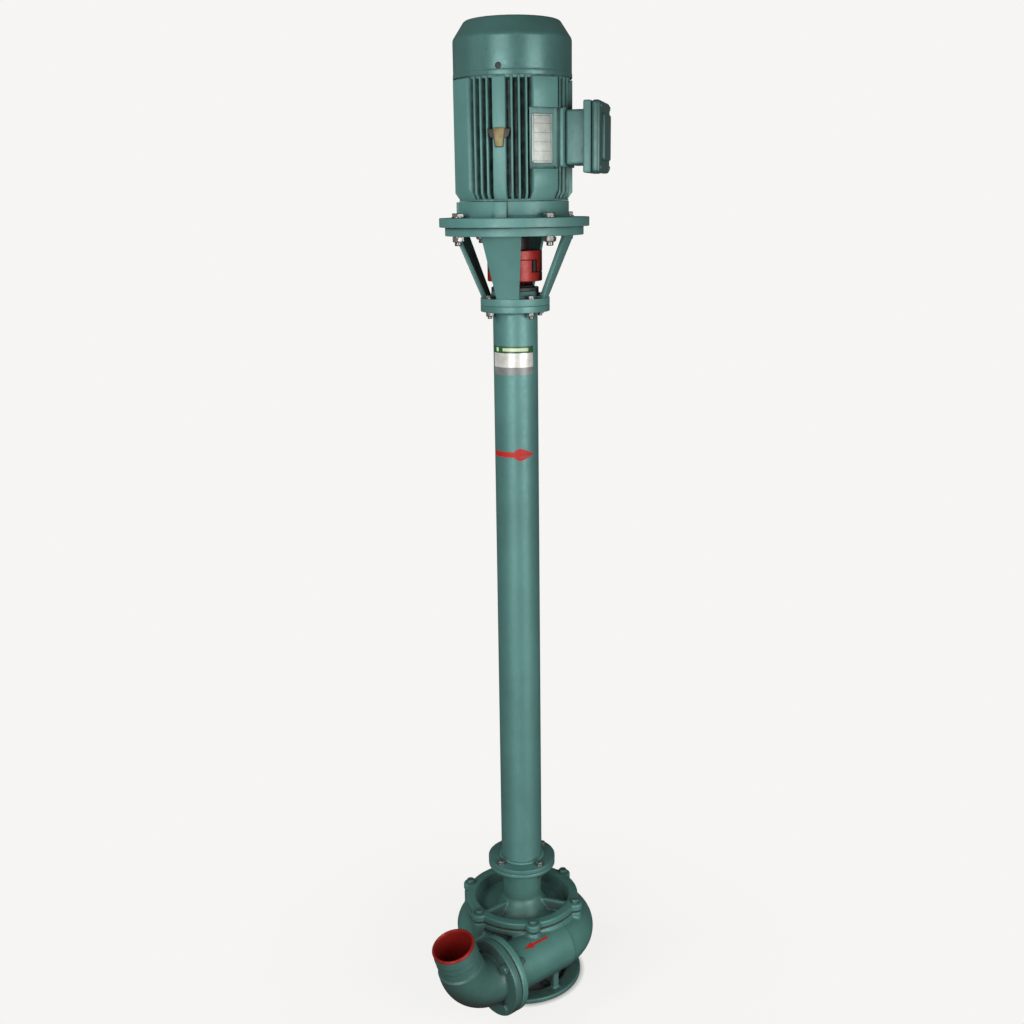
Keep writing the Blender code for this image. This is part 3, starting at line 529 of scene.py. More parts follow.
# Painted shade: the coupling darkens in its jaws and is painted dark above its hub line.
PAINT_COUPLING = enamel("red_coupling", RED, RED_BARE, 0.9, roughness=0.42, coat=0.15, metallic=0.3,
                        gap=0.045, shade_and_grime=0.97, shade_and_soil=tint(RED, 0.12),
                        shade_above=(COUPLING_SHADE_TOP, COUPLING_SHADE))
PAINT_MARK = enamel("red_marking", MARK_RED, TEAL, 0.3, roughness=0.62, wear=0.6, coat=0.0, metallic=0.0)
ZINC = plated("zinc_plate", (0.50, 0.49, 0.46, 1.0), (0.10, 0.09, 0.07, 1.0), 0.34)
STEEL = plated("ground_steel", (0.50, 0.51, 0.52, 1.0), (0.08, 0.07, 0.06, 1.0), 0.26)
IRON = plain("bare_casting", (0.060, 0.060, 0.062, 1.0), 0.60, 60.0, 0.0004, 0.6)
COPPER = plain("copper_enamel", (0.48, 0.18, 0.07, 1.0), 0.38, 140.0, 0.0004, 0.9)
LAMINATED = plated("core_plates", (0.22, 0.22, 0.23, 1.0), (0.03, 0.03, 0.03, 1.0), 0.45, 3.0)
BRONZE = plated("bush_bronze", (0.50, 0.34, 0.16, 1.0), (0.10, 0.06, 0.03, 1.0), 0.33)
RUBBER = plain("black_rubber", (0.022, 0.022, 0.022, 1.0), 0.72, 90.0, 0.0002)
FIBRE = plain("fibre_gasket", (0.055, 0.050, 0.045, 1.0), 0.85, 200.0, 0.0002)
PLASTIC = plain("black_moulding", (0.028, 0.028, 0.030, 1.0), 0.46, 80.0, 0.0001)
PLATE = plated("etched_plate", (0.54, 0.56, 0.52, 1.0), (0.16, 0.16, 0.16, 1.0), 0.55, 0.6)
GOLD = plated("gold_badge", (0.30, 0.25, 0.13, 1.0), (0.08, 0.06, 0.02, 1.0), 0.56, 0.6)
# Colour of the badge's dark winged plate: painted shade round the shield.
BADGE_SHADE = plain("badge_painted_shade", (0.030, 0.024, 0.018, 1.0), 0.45, 120.0, 0.0001)
LABEL_WHITE = plain("label_white", (0.66, 0.64, 0.60, 1.0), 0.34, 45.0, 0.00004, 0.25)
LABEL_GREEN = plain("label_green", (0.020, 0.085, 0.030, 1.0), 0.36, 45.0, 0.00004)
LABEL_GREY = plain("label_grey", (0.20, 0.215, 0.21, 1.0), 0.38, 45.0, 0.00004, 0.2)
LABEL_PALE = plain("label_pale", (0.52, 0.62, 0.40, 1.0), 0.36, 45.0, 0.00004)


# Fasteners

# Bolt sizes: half the shank, the width across flats, and the head's height.
M8 = (0.004, 0.013, 0.0055)
M8_WIDE = (0.004, 0.014, 0.0062)
M10 = (0.005, 0.016, 0.0066)
M12 = (0.006, 0.018, 0.0075)


def add_hexagon(bm, place, across_flats, low, high):
    """A hexagon with its corners turned down to a cone at the top, and a round face under it."""
    corner = across_flats / math.sqrt(3)
    flat = across_flats / 2
    crown = (high - low) * 0.16
    face = (high - low) * 0.08
    angles = [math.radians(15.0 * i) for i in range(24)]
    rings = [[(flat * 0.96, low)] * 24, [(flat * 0.96, low + face)] * 24]
    for z, limit, drop in ((low + face, corner, 0.0), (high - crown, corner, crown * 0.7),
                           (high, flat * 0.94, 0.0)):
        ring = []
        for angle in angles:
            reach = flat / math.cos(angle % math.radians(60.0) - math.radians(30.0))
            ring.append((min(reach, limit), z - drop * (reach - flat) / (corner - flat)))
        rings.append(ring)
    loops = []
    for ring in rings:
        loops.append([bm.verts.new(place @ Vector((r * math.cos(angle), r * math.sin(angle), z)))
                      for angle, (r, z) in zip(angles, ring)])
    for first, second in zip(loops, loops[1:]):
        for i in range(24):
            j = (i + 1) % 24
            bm.faces.new((first[i], first[j], second[j], second[i]))
    bm.faces.new(loops[0][::-1])
    bm.faces.new(loops[-1])


def add_thread(bm, place, radius, low, high):
    """A bolt's threaded end: close rings, with a chamfered tip at the low end."""
    pitch = radius * 0.25
    turns = max(2, int((high - low) / pitch))
    profile = [(0.0, high), (radius, high)]
    for turn in range(turns):
        base = high - (high - low) * (turn + 0.5) / (turns + 0.5)
        profile.append((radius, base + pitch * 0.30))
        profile.append((radius * 0.88, base))
        profile.append((radius, base - pitch * 0.30))
    profile += [(radius * 0.80, low), (0.0, low)]
    add_lathe(bm, profile, 20, place, closed=False)


def add_washer(bm, place, hole, outside, low, thick):
    profile = rounded([(hole, low + thick), (outside, low + thick), (outside, low), (hole, low)],
                      thick * 0.3, steps=2)
    add_lathe(bm, profile, 32, place)


def bolt(name, place, shank, flats, head, grip, nut=True):
    """A bolt whose head stands on height 0 of the place; its nut, if any, is run up under the grip."""
    bm = bmesh.new()
    washer = shank * 0.26
    add_washer(bm, place, shank * 1.04, flats * 0.60, 0.0, washer)
    add_hexagon(bm, place, flats, washer, head)
    if nut:
        under = -grip
        depth = head * 1.15
        add_rod(bm, place @ Matrix.Translation((0, 0, under - depth)), shank * 0.98, grip + depth, 20)
        add_hexagon(bm, place @ Matrix.Translation((0, 0, under)) @ Matrix.Rotation(math.pi, 4, "X"),
                    flats, 0.0, depth)
        add_thread(bm, place, shank, under - depth - shank, under - depth + 0.0004)
    else:
        add_thread(bm, place, shank, -grip, 0.0005)
    return mesh_object(name, bm)


def bolts(node, places, size, grip, nut=True, painted=False):
    for number, place in enumerate(places, 1):
        made = bolt(f"fine_{node}_{number}", place, *size, grip, nut)
        finished(made, PAINT_BOLT if painted else ZINC, f"{node}_{number}")


def add_screw(bm, place, radius, height):
    """A small round-head screw with a straight slot, its head standing on height 0."""
    profile = [(0.0, height), (radius * 0.55, height * 0.94), (radius * 0.86, height * 0.66),
               (radius, height * 0.22), (radius, 0.0), (0.0, 0.0)]
    add_lathe(bm, profile, 24, place, closed=False)


def screws(name, places, radius, height, material=ZINC):
    """Slotted screws as one piece each, so that every screw is a part of its own."""
    for number, place in enumerate(places, 1):
        bm = bmesh.new()
        add_screw(bm, place, radius, height)
        head = mesh_object(f"{name}_{number}", bm)
        groove = soft_box("groove", (-radius * 1.2, -radius * 0.13, height * 0.55),
                          (radius * 1.2, radius * 0.13, height * 1.3), 0.0)
        groove.data.transform(place)
        cut(head, groove)
        finished(head, material)


def facing(point, direction, roll=0.0):
    """A place at a point, with its Z along the direction."""
    turn = Vector(direction).to_track_quat("Z", "Y").to_matrix().to_4x4()
    return Matrix.Translation(point) @ turn @ around(roll)


# The pump end

NOZZLE_OFFSET = 0.095
CASING_MID = 0.114
NOZZLE_R = 0.045
NOZZLE_BORE = 0.0375
NOZZLE_FACE = 0.139
NOZZLE_FLANGE_R = 0.069
NOZZLE_FLANGE_THICK = 0.014
NOZZLE_BOLT_CIRCLE = 0.056
ELBOW_FACE = NOZZLE_FACE + 0.0016
ELBOW_START = ELBOW_FACE + NOZZLE_FLANGE_THICK
ELBOW_BEND = 0.070
ELBOW_TURN = math.radians(72.0)
ELBOW_TAPER = 0.003
ELBOW_STEPS = 24
SPIGOT_R = 0.0378
SPIGOT_LENGTH = 0.0601
BOSS_CIRCLE = 0.1065
BOSS_R = 0.0138
COVER_R = 0.107
CASING_TOP = low_of("cover_gasket") - GAP
COVER_LOW = CASING_TOP + 0.0022
COVER_RIM = COVER_LOW + 0.0128
COVER_TOP = top_of("pump_cover")
NECK_FLANGE_LOW = COVER_TOP - 0.0087
NECK_R = 0.036
FOOT_JOINT_R = 0.063


def nozzle_point(distance):
    return SIDE * NOZZLE_OFFSET + UP * CASING_MID + OUT * distance


def nozzle_frame(distance):
    """A place on the discharge's axis with Z along it and X along SIDE."""
    turn = Matrix((SIDE, OUT.cross(SIDE), OUT)).transposed().to_4x4()
    return Matrix.Translation(nozzle_point(distance)) @ turn


def nozzle_bolt_places(distance):
    return [nozzle_frame(distance) @ around((i + 0.5) * math.pi / 2)
            @ Matrix.Translation((NOZZLE_BOLT_CIRCLE, 0, 0)) for i in range(4)]


def scroll(name, wall, steps=60, points=40):
    """The spiral body: its section grows clockwise, seen from above, up to the discharge."""
    first = math.radians(4.0)
    rings = []
    for step in range(steps + 1):
        swept = first + (2 * math.pi - first) * step / steps
        share = swept / (2 * math.pi)
        radius = 0.028 + (NOZZLE_R - 0.028) * share
        centre = 0.118 + 0.0210 * share ** 0.9 - radius
        angle = PUMP_TURN + math.pi / 2 - swept
        ring = []
        for i in range(points):
            turn = 2 * math.pi * i / points
            reach = centre + (radius - wall) * math.cos(turn)
            ring.append((reach * math.cos(angle), reach * math.sin(angle),
                         CASING_MID + (radius - wall) * math.sin(turn)))
        rings.append(ring)
    return loft(name, rings)


def volute_casing():
    low = low_of("volute_casing")
    drum_r = 0.097
    boss_low = 0.128
    body = turned("fine_volute_casing", [(0.0, CASING_TOP), (COVER_R, CASING_TOP), (COVER_R, 0.153),
        (drum_r, 0.150), (drum_r, 0.078), (0.090, low), (0.0, low)], 0.0015)
    nozzle = rods([nozzle_frame(-0.010)], NOZZLE_R, NOZZLE_FACE + 0.006, ROUND)
    flange = turned("flange", [(0.0, NOZZLE_FLANGE_THICK), (NOZZLE_FLANGE_R, NOZZLE_FLANGE_THICK),
        (NOZZLE_FLANGE_R, 0.0), (NOZZLE_R + 0.0014, 0.0), (NOZZLE_R, -0.004), (0.0, -0.004)], 0.0020,
        place=nozzle_frame(NOZZLE_FACE - NOZZLE_FLANGE_THICK))
    bosses = rods(boss_places(boss_low), BOSS_R - 0.001, CASING_TOP - 0.0004 - boss_low)
    join(body, scroll("spiral", 0.0), nozzle, flange, bosses)
    cover_seat = 0.1455
    chamber_r = 0.084
    chamber_floor = 0.096
    eye_r = 0.042
    chamber = lathe("chamber", [(0.0, 0.2), (0.0925, 0.2), (0.0925, cover_seat),
                                (chamber_r, cover_seat), (chamber_r, chamber_floor),
                                (eye_r, chamber_floor), (eye_r, 0.05), (0.0, 0.05)],
                    closed=False, place=around(0.02))
    bore = rods([nozzle_frame(-0.005)], NOZZLE_BORE, 0.2, 64)
    threads = rods(boss_places(0.153), 0.0046, 0.02, 16)
    holes = rods(nozzle_bolt_places(0.110), 0.0056, 0.05, 24)
    cut(body, scroll("hollow", 0.0072, 48, 24), chamber, bore, threads, holes)
    cast(body, 0.0019, 6)
    finished(body, PAINT_PUMP, "volute_casing")


def pump_cover():
    floor = 0.156
    outside = [(0.0273, COVER_TOP), (FOOT_JOINT_R, COVER_TOP), (FOOT_JOINT_R, NECK_FLANGE_LOW),
               (NECK_R + 0.004, NECK_FLANGE_LOW), (NECK_R, NECK_FLANGE_LOW - 0.004), (NECK_R, 0.182),
               (0.040, 0.174), (0.048, 0.164), (0.053, floor), (0.0815, floor),
               (0.0892, COVER_RIM - 0.0015), (0.0915, COVER_RIM), (COVER_R, COVER_RIM),
               (COVER_R, COVER_LOW)]
    web_low = 0.148
    seal_seat = 0.176
    inside = [(0.0915, COVER_LOW), (0.0915, web_low), (0.019, web_low), (0.019, seal_seat),
              (0.0273, seal_seat)]
    body = lathe("fine_pump_cover", rounded(outside, 0.0016, closed=False) + inside)
    rib_angles = [PUMP_TURN + math.radians(120.0 * i) for i in range(3)]
    ribs = boxes_around(rib_angles, (0.033, -0.0042, 0.152), (0.0905, 0.0042, 0.1768), 0.001)
    boss_low = COVER_LOW + 0.0004
    bosses = rods(boss_places(boss_low), BOSS_R, COVER_RIM + 0.0006 - boss_low)
    join(body, ribs, bosses)
    cut(body, rods(boss_places(0.150), 0.0045, 0.05, 16),
        rods(foot_bolt_places(0.235), 0.0045, 0.03, 16))
    cast(body, 0.0016, 5)
    finished(body, PAINT_PUMP, "pump_cover")


def boss_places(height):
    return ring_places(6, BOSS_CIRCLE, height, PUMP_TURN)


def foot_bolt_places(height):
    return ring_places(4, 0.051, height, PUMP_TURN + math.pi / 2)


def cover_gasket():
    low = CASING_TOP + GAP
    high = COVER_LOW - GAP
    ring = turned("fine_cover_gasket", [(0.0920, high), (COVER_R - 0.0005, high),
        (COVER_R - 0.0005, low), (0.0920, low)], 0.0004)
    cut(ring, rods(boss_places(0.160), 0.0048, 0.01, 24))
    finished(ring, FIBRE, "cover_gasket")


def suction_base():
    top = top_of("suction_base")
    floor_top = 0.019
    ring_top = 0.022
    foot = turned("fine_suction_base", [(0.0, floor_top), (0.084, floor_top), (0.084, ring_top),
        (0.112, ring_top), (0.112, FOOT_LOW), (0.0, FOOT_LOW)], 0.0012)
    pitch = math.radians(30.0)
    spoke = 0.004
    windows = bmesh.new()
    for number in range(6):
        middle = PUMP_TURN + math.radians(60.0 * number)
        far = pitch - math.asin(spoke / 0.080)
        near = pitch - math.asin(spoke / 0.024)
        add_prism(windows, arc(0.080, middle - far, middle + far, 16)
                  + arc(0.024, middle + near, middle - near, 10), 0.0, 0.03)
    cut(foot, mesh_object("windows", windows))
    leg_angles = [PUMP_TURN + math.radians(30.0 + 60.0 * i) for i in range(6)]
    legs = boxes_around(leg_angles, (0.0865, -0.0065, 0.017), (0.0985, 0.0065, 0.060), 0.0022)
    plate = turned("plate", [(0.038, top), (0.100, top), (0.100, 0.0545), (0.050, 0.0545),
        (0.0445, 0.049), (0.0445, 0.034), (0.038, 0.034)], 0.0018)
    join(foot, legs, plate)
    cast(foot, 0.0015, 3)
    finished(foot, PAINT_PUMP, "suction_base")


def elbow_station(turn, beyond, radius, points=72):
    """A ring of the elbow after a turn of its axis, and a straight run beyond it."""
    along = OUT * math.cos(turn) + UP * math.sin(turn)
    over = OUT * -math.sin(turn) + UP * math.cos(turn)
    centre = (nozzle_point(ELBOW_START) + OUT * ELBOW_BEND * math.sin(turn)
              + UP * ELBOW_BEND * (1 - math.cos(turn)) + along * beyond)
    return [centre + SIDE * radius * math.cos(a) + over * radius * math.sin(a)
            for a in (2 * math.pi * i / points for i in range(points))]


def spigot_station(beyond, radius):
    return elbow_station(ELBOW_TURN, beyond, radius)


def elbow_bore():
    stations = [elbow_station(0.0, -0.03, NOZZLE_BORE)]
    for step in range(ELBOW_STEPS + 1):
        share = step / ELBOW_STEPS
        stations.append(elbow_station(ELBOW_TURN * share, 0.0, NOZZLE_BORE - ELBOW_TAPER * share))
    return stations


def discharge_elbow():
    body_r = 0.0445
    flare = 0.0016
    outside = [elbow_station(0.0, -0.006, body_r + flare)]
    for step in range(ELBOW_STEPS + 1):
        share = step / ELBOW_STEPS
        swell = flare * max(0.0, 1.0 - share / 0.14) ** 2
        outside.append(elbow_station(ELBOW_TURN * share, 0.0, body_r - ELBOW_TAPER * share + swell))
    outside.append(spigot_station(0.010, body_r - ELBOW_TAPER - 0.0002))
    outside.append(spigot_station(0.0125, SPIGOT_R + 0.0004))
    for ridge in range(3):
        foot = 0.016 + 0.0125 * ridge
        for along, proud in ((0.0, -0.0006), (0.0012, 0.0011), (0.0030, 0.0011), (0.0085, -0.0006)):
            outside.append(spigot_station(foot + along, SPIGOT_R + proud))
    for short, inward in ((0.0015, 0.0), (0.0005, 0.0004), (0.0, 0.0014)):
        outside.append(spigot_station(SPIGOT_LENGTH - short, SPIGOT_R - inward))
    bore = elbow_bore() + [spigot_station(SPIGOT_LENGTH + 0.01, NOZZLE_BORE - ELBOW_TAPER)]
    body = turned("fine_discharge_elbow", [(0.0, NOZZLE_FLANGE_THICK),
        (NOZZLE_FLANGE_R, NOZZLE_FLANGE_THICK), (NOZZLE_FLANGE_R, 0.0), (0.0, 0.0)], 0.0022,
        place=nozzle_frame(ELBOW_FACE))
    join(body, loft("outside", outside))
    cut(body, loft("inside", bore), rods(nozzle_bolt_places(0.130), 0.0056, 0.04, 24))
    finished(body, PAINT_ELBOW_SHADED, "discharge_elbow")


def mouth_paint():
    """Red paint over the spigot's end, its rim and the first stretch of its bore."""
    skin = 0.0003
    lining_r = NOZZLE_BORE - ELBOW_TAPER - skin
    rings = []
    for short, radius in ((0.0036, SPIGOT_R + skin), (0.0016, SPIGOT_R + skin),
                          (0.0004, SPIGOT_R + skin - 0.0004), (-skin, SPIGOT_R - 0.0014),
                          (-skin, NOZZLE_BORE - 0.0028)):
        rings.append(spigot_station(SPIGOT_LENGTH - short, radius))
    for step in range(12):
        rings.append(spigot_station(SPIGOT_LENGTH - 0.0006 - 0.0061 * step, lining_r))
    for step in range(ELBOW_STEPS - 1, ELBOW_STEPS // 2 - 1, -1):
        share = step / ELBOW_STEPS
        rings.append(elbow_station(ELBOW_TURN * share, 0.0, NOZZLE_BORE - skin - ELBOW_TAPER * share))
    lining = loft("mouth_paint", rings, capped=False)
    solid = lining.modifiers.new("skin", "SOLIDIFY")
    solid.thickness = 0.0002
    solid.offset = 1.0
    applied(lining, 45.0)
    finished(lining, PAINT_RED)


def throat_paint():
    """Red paint inside the suction throat."""
    lining = turned("throat_paint", [(0.0374, 0.0642), (0.0378, 0.0642), (0.0378, 0.0336),
        (0.0446, 0.0336), (0.0446, 0.0332), (0.0374, 0.0332)], 0.0001)
    finished(lining, PAINT_RED)


def discharge_gasket():
    thick = ELBOW_FACE - NOZZLE_FACE - 2 * GAP
    gasket_r = NOZZLE_FLANGE_R - 0.001
    ring = turned("fine_discharge_gasket", [(0.038, thick), (gasket_r, thick), (gasket_r, 0.0),
        (0.038, 0.0)], 0.0003, place=nozzle_frame(NOZZLE_FACE + GAP))
    cut(ring, rods(nozzle_bolt_places(0.130), 0.0058, 0.04, 24))
    finished(ring, FIBRE, "discharge_gasket")


def on_barrel(place, radius, along, across):
    """A point on a cylinder about the place's Z: along its axis, and round it by a distance."""
    angle = across / radius
    return place @ Vector((radius * math.cos(angle), radius * math.sin(angle), along))


def decal(name, place, radius, outline_rows, thick, material):
    """A thin sheet wrapped on a cylinder; each row is (along, low across, high across)."""
    bm = bmesh.new()
    columns = 24
    layers = []
    for lift in (0.0, thick):
        grid = []
        for along, start, end in outline_rows:
            grid.append([bm.verts.new(on_barrel(place, radius + lift, along,
                                                start + (end - start) * i / columns))
                         for i in range(columns + 1)])
        layers.append(grid)
    below, above = layers
    rows = len(outline_rows)
    for r in range(rows - 1):
        for c in range(columns):
            bm.faces.new((above[r][c], above[r][c + 1], above[r + 1][c + 1], above[r + 1][c]))
            bm.faces.new((below[r][c], below[r + 1][c], below[r + 1][c + 1], below[r][c + 1]))
        bm.faces.new((below[r][0], above[r][0], above[r + 1][0], below[r + 1][0]))
        bm.faces.new((below[r][-1], below[r + 1][-1], above[r + 1][-1], above[r][-1]))
    for c in range(columns):
        bm.faces.new((below[0][c], below[0][c + 1], above[0][c + 1], above[0][c]))
        bm.faces.new((below[-1][c], above[-1][c], above[-1][c + 1], below[-1][c + 1]))
    finished(mesh_object(name, bm, 60.0), material)


# Column and lantern

COLUMN_R = 0.038
COLUMN_BORE_R = 0.034
COLUMN_LOW = low_of("column_pipe")
COLUMN_TOP = top_of("column_pipe")
TOP_JOINT_R = 0.0585
FOOT_PLATE = 0.008
TOP_PLATE = 0.011
LANTERN_LOW = low_of("lantern")
LANTERN_TOP = top_of("lantern")
LANTERN_R = 0.1155
LANTERN_SEAT = 1.3125


def top_bolt_places(height):
    return ring_places(4, 0.050, height, math.pi / 4)


def flange_bolt_places(height):
    return ring_places(4, 0.1075, height, math.pi / 4)


def weld_bead(name, radius, height, thick):
    """A rippled fillet weld round the pipe."""
    ripples = 90
    steps = ripples * 4
    section = 8
    rings = []
    for i in range(steps):
        angle = 2 * math.pi * i / steps
        swell = thick * (1.0 + 0.10 * math.cos(angle * ripples) + 0.05 * math.sin(angle * 7))
        ring = []
        for k in range(section):
            turn = 2 * math.pi * k / section
            reach = radius + swell * math.cos(turn)
            lift = swell * math.sin(turn)
            ring.append((reach * math.cos(angle), reach * math.sin(angle), height + lift))
        rings.append(ring)
    finished(loft(name, rings, capped=False, looped=True, sharp=80.0), PAINT_CAST)


def column_pipe():
    foot = COLUMN_LOW + FOOT_PLATE
    top = COLUMN_TOP - TOP_PLATE
    pipe = turned("fine_column_pipe", [(COLUMN_BORE_R, COLUMN_TOP), (TOP_JOINT_R, COLUMN_TOP),
        (TOP_JOINT_R, top), (COLUMN_R, top), (COLUMN_R, foot), (FOOT_JOINT_R, foot),
        (FOOT_JOINT_R, COLUMN_LOW), (COLUMN_BORE_R, COLUMN_LOW)], 0.0012)
    cut(pipe, rods(top_bolt_places(1.28), 0.0045, 0.03, 20),
        rods(foot_bolt_places(0.25), 0.0045, 0.02, 20))
    finished(pipe, PAINT_PIPE, "column_pipe")
    weld_bead("foot_weld", COLUMN_R + 0.0004, foot + 0.0006, 0.0036)
    weld_bead("top_weld", COLUMN_R + 0.0004, top - 0.0006, 0.0028)


def lantern():
    ring_low = 1.415
    outside = [(0.090, LANTERN_TOP), (LANTERN_R, LANTERN_TOP), (LANTERN_R, ring_low),
               (0.0992, ring_low), (0.0567, 1.3135), (TOP_JOINT_R, 1.3131),
               (TOP_JOINT_R, LANTERN_LOW)]
    inside = [(0.020, LANTERN_LOW), (0.020, 1.3075), (0.0313, 1.3075), (0.0313, 1.3238),
              (0.040, 1.3238), (0.041, 1.316), (0.049, 1.316), (0.0905, 1.412)]
    body = lathe("fine_lantern", rounded(outside, 0.0012, closed=False) + inside)
    leg_angle = 39.0
    half_window = math.radians(90.0 - leg_angle) / 2
    windows = bmesh.new()
    for number in range(4):
        middle = math.pi / 4 + number * math.pi / 2
        add_prism(windows, sector(0.0425, 0.13, middle, half_window, 12),
                  LANTERN_SEAT, ring_low - 0.0002)
    cut(body, mesh_object("windows", windows), rods(flange_bolt_places(1.40), 0.0064, 0.04, 24),
        rods(top_bolt_places(1.295), 0.0045, 0.03, 20))
    eased(body, 0.0011)
    finished(body, PAINT_LANTERN, "lantern")


def bearing_cap():
    low = low_of("bearing_cap")
    high = top_of("bearing_cap")
    cap = turned("fine_bearing_cap", [(0.0165, high), (0.031, high), (0.0335, high - 0.0032),
        (0.040, high - 0.0035), (0.040, low), (0.0165, low)], 0.0010)
    finished(cap, IRON, "bearing_cap")
    screws("cap_screw", ring_places(4, 0.0360, high - 0.0035, 0.0), 0.0026, 0.0018)


# Coupling

COUPLING_R = 0.046


def jaws(name, first_angle, low, high):
    bm = bmesh.new()
    for number in range(3):
        add_prism(bm, sector(0.020, COUPLING_R, first_angle + 2 * math.pi * number / 3,
                             math.radians(21.0), 14), low, high)
    return mesh_object(name, bm)


def coupling():
    """Two jawed halves with a rubber spider between them."""
    bore = 0.0140
    hub_r = 0.027
    high = top_of("coupling_upper_half")
    low = low_of("coupling_lower_half")
    upper_face = 1.3755
    lower_face = 1.3555
    upper = turned("fine_coupling_upper_half", [(bore, high), (hub_r, high), (hub_r, 1.391),
        (COUPLING_R, 1.391), (COUPLING_R, upper_face), (bore, upper_face)], 0.0015)
    join(upper, jaws("jaws", 0.0, lower_face + 0.0008, upper_face + 0.0045))
    cut(upper, rods([facing((0.0, -0.05, 1.402), (0, 1, 0))], 0.0032, 0.03, 24))
    finished(upper, PAINT_COUPLING, "coupling_upper_half", body=ROTOR_BODY)
    lower = turned("fine_coupling_lower_half", [(bore, lower_face), (COUPLING_R, lower_face),
        (COUPLING_R, 1.3405), (0.030, 1.3385), (hub_r, low), (bore, low)], 0.0015)
    join(lower, jaws("jaws", math.pi / 3, lower_face - 0.0055, upper_face - 0.0007))
    finished(lower, PAINT_COUPLING, "coupling_lower_half", body=ROTOR_BODY)
    spider_r = 0.0190
    spider_low = lower_face + 0.0005
    spider_high = upper_face - 0.0005
    spider = turned("fine_coupling_spider", [(0.0145, spider_high), (spider_r, spider_high),
        (spider_r, spider_low), (0.0145, spider_low)], 0.0008)
    arm_angles = [math.radians(30.0 + 60.0 * i) for i in range(6)]
    join(spider, boxes_around(arm_angles, (0.017, -0.0026, spider_low + 0.0002),
                              (0.0455, 0.0026, spider_high - 0.0002), 0.0007))
    finished(spider, RUBBER, "coupling_spider", body=ROTOR_BODY)


# Motor

FLANGE_LOW = low_of("motor_flange")
SHIELD_TOP = top_of("motor_flange")
FLANGE_TOP = SHIELD_TOP - 0.0257
MOTOR_FLANGE_R = 0.125
SHIELD_R = 0.091
FRAME_LOW = low_of("motor_frame")
FRAME_TOP = top_of("motor_frame")
BARREL_R = 0.0815
FIN_ROOT_R = 0.0785
FIN_TIP_R = 0.0968
BAR_ANGLES = (math.pi, -math.pi / 2, math.pi / 2)
BAR_FRONT = 0.0972
BAR_HALF = 0.0105
BOSS_FACE = 0.095
BOSS_HALF = 0.045
BOSS_LOW = 1.522
BOSS_HIGH = 1.612
LEAD_HOLE_R = 0.012
LEAD_HEIGHT = 1.567
NAME_ANGLE = -math.pi / 4
NAME_SEAT_R = 0.086
COWL_LOW = low_of("fan_cowl")
COWL_TOP = top_of("fan_cowl")
COWL_R = 0.0966


def motor_flange():
    bearing_top = 1.4655
    bearing_low = 1.446
    shield = turned("fine_motor_flange", [(0.0313, bearing_top), (0.039, bearing_top),
        (0.041, FLANGE_TOP + 0.001), (0.072, FLANGE_TOP + 0.001), (0.074, SHIELD_TOP),
        (SHIELD_R, SHIELD_TOP), (SHIELD_R, FLANGE_TOP + 0.004), (SHIELD_R + 0.004, FLANGE_TOP),
        (MOTOR_FLANGE_R, FLANGE_TOP), (MOTOR_FLANGE_R, FLANGE_LOW), (0.042, FLANGE_LOW),
        (0.038, FLANGE_LOW + 0.004), (0.0172, FLANGE_LOW + 0.004), (0.0172, bearing_low),
        (0.0313, bearing_low)], 0.0015)
    ribs = boxes_around(BAR_ANGLES, (0.085, -BAR_HALF, FLANGE_TOP - 0.003),
                        (0.0965, BAR_HALF, SHIELD_TOP - 0.0004), 0.0012)
    join(shield, ribs)
    cut(shield, rods(flange_bolt_places(1.42), 0.0064, 0.04, 24))
    finished(shield, PAINT_CAST, "motor_flange")


def fin_angles():
    quarters = [math.pi * i / 2 for i in range(4)]
    steps = [math.radians(side * step) for step in (12.0, 19.0, 26.0) for side in (-1, 1)]
    return [quarter + step for quarter in quarters for step in steps]


def add_fin(bm, angle, root, tip, low, high):
    """A cooling fin that thins towards its tip, with a rounded edge."""
    half_root = 0.0025
    half_tip = 0.0017
    outline = [(root, -half_root), (tip - 0.0012, -half_tip), (tip - 0.0003, -half_tip * 0.6),
               (tip, 0.0), (tip - 0.0003, half_tip * 0.6), (tip - 0.0012, half_tip), (root, half_root)]
    turn = around(angle)
    add_prism(bm, [(turn @ Vector((x, y, 0.0))).xy for x, y in outline], low, high)


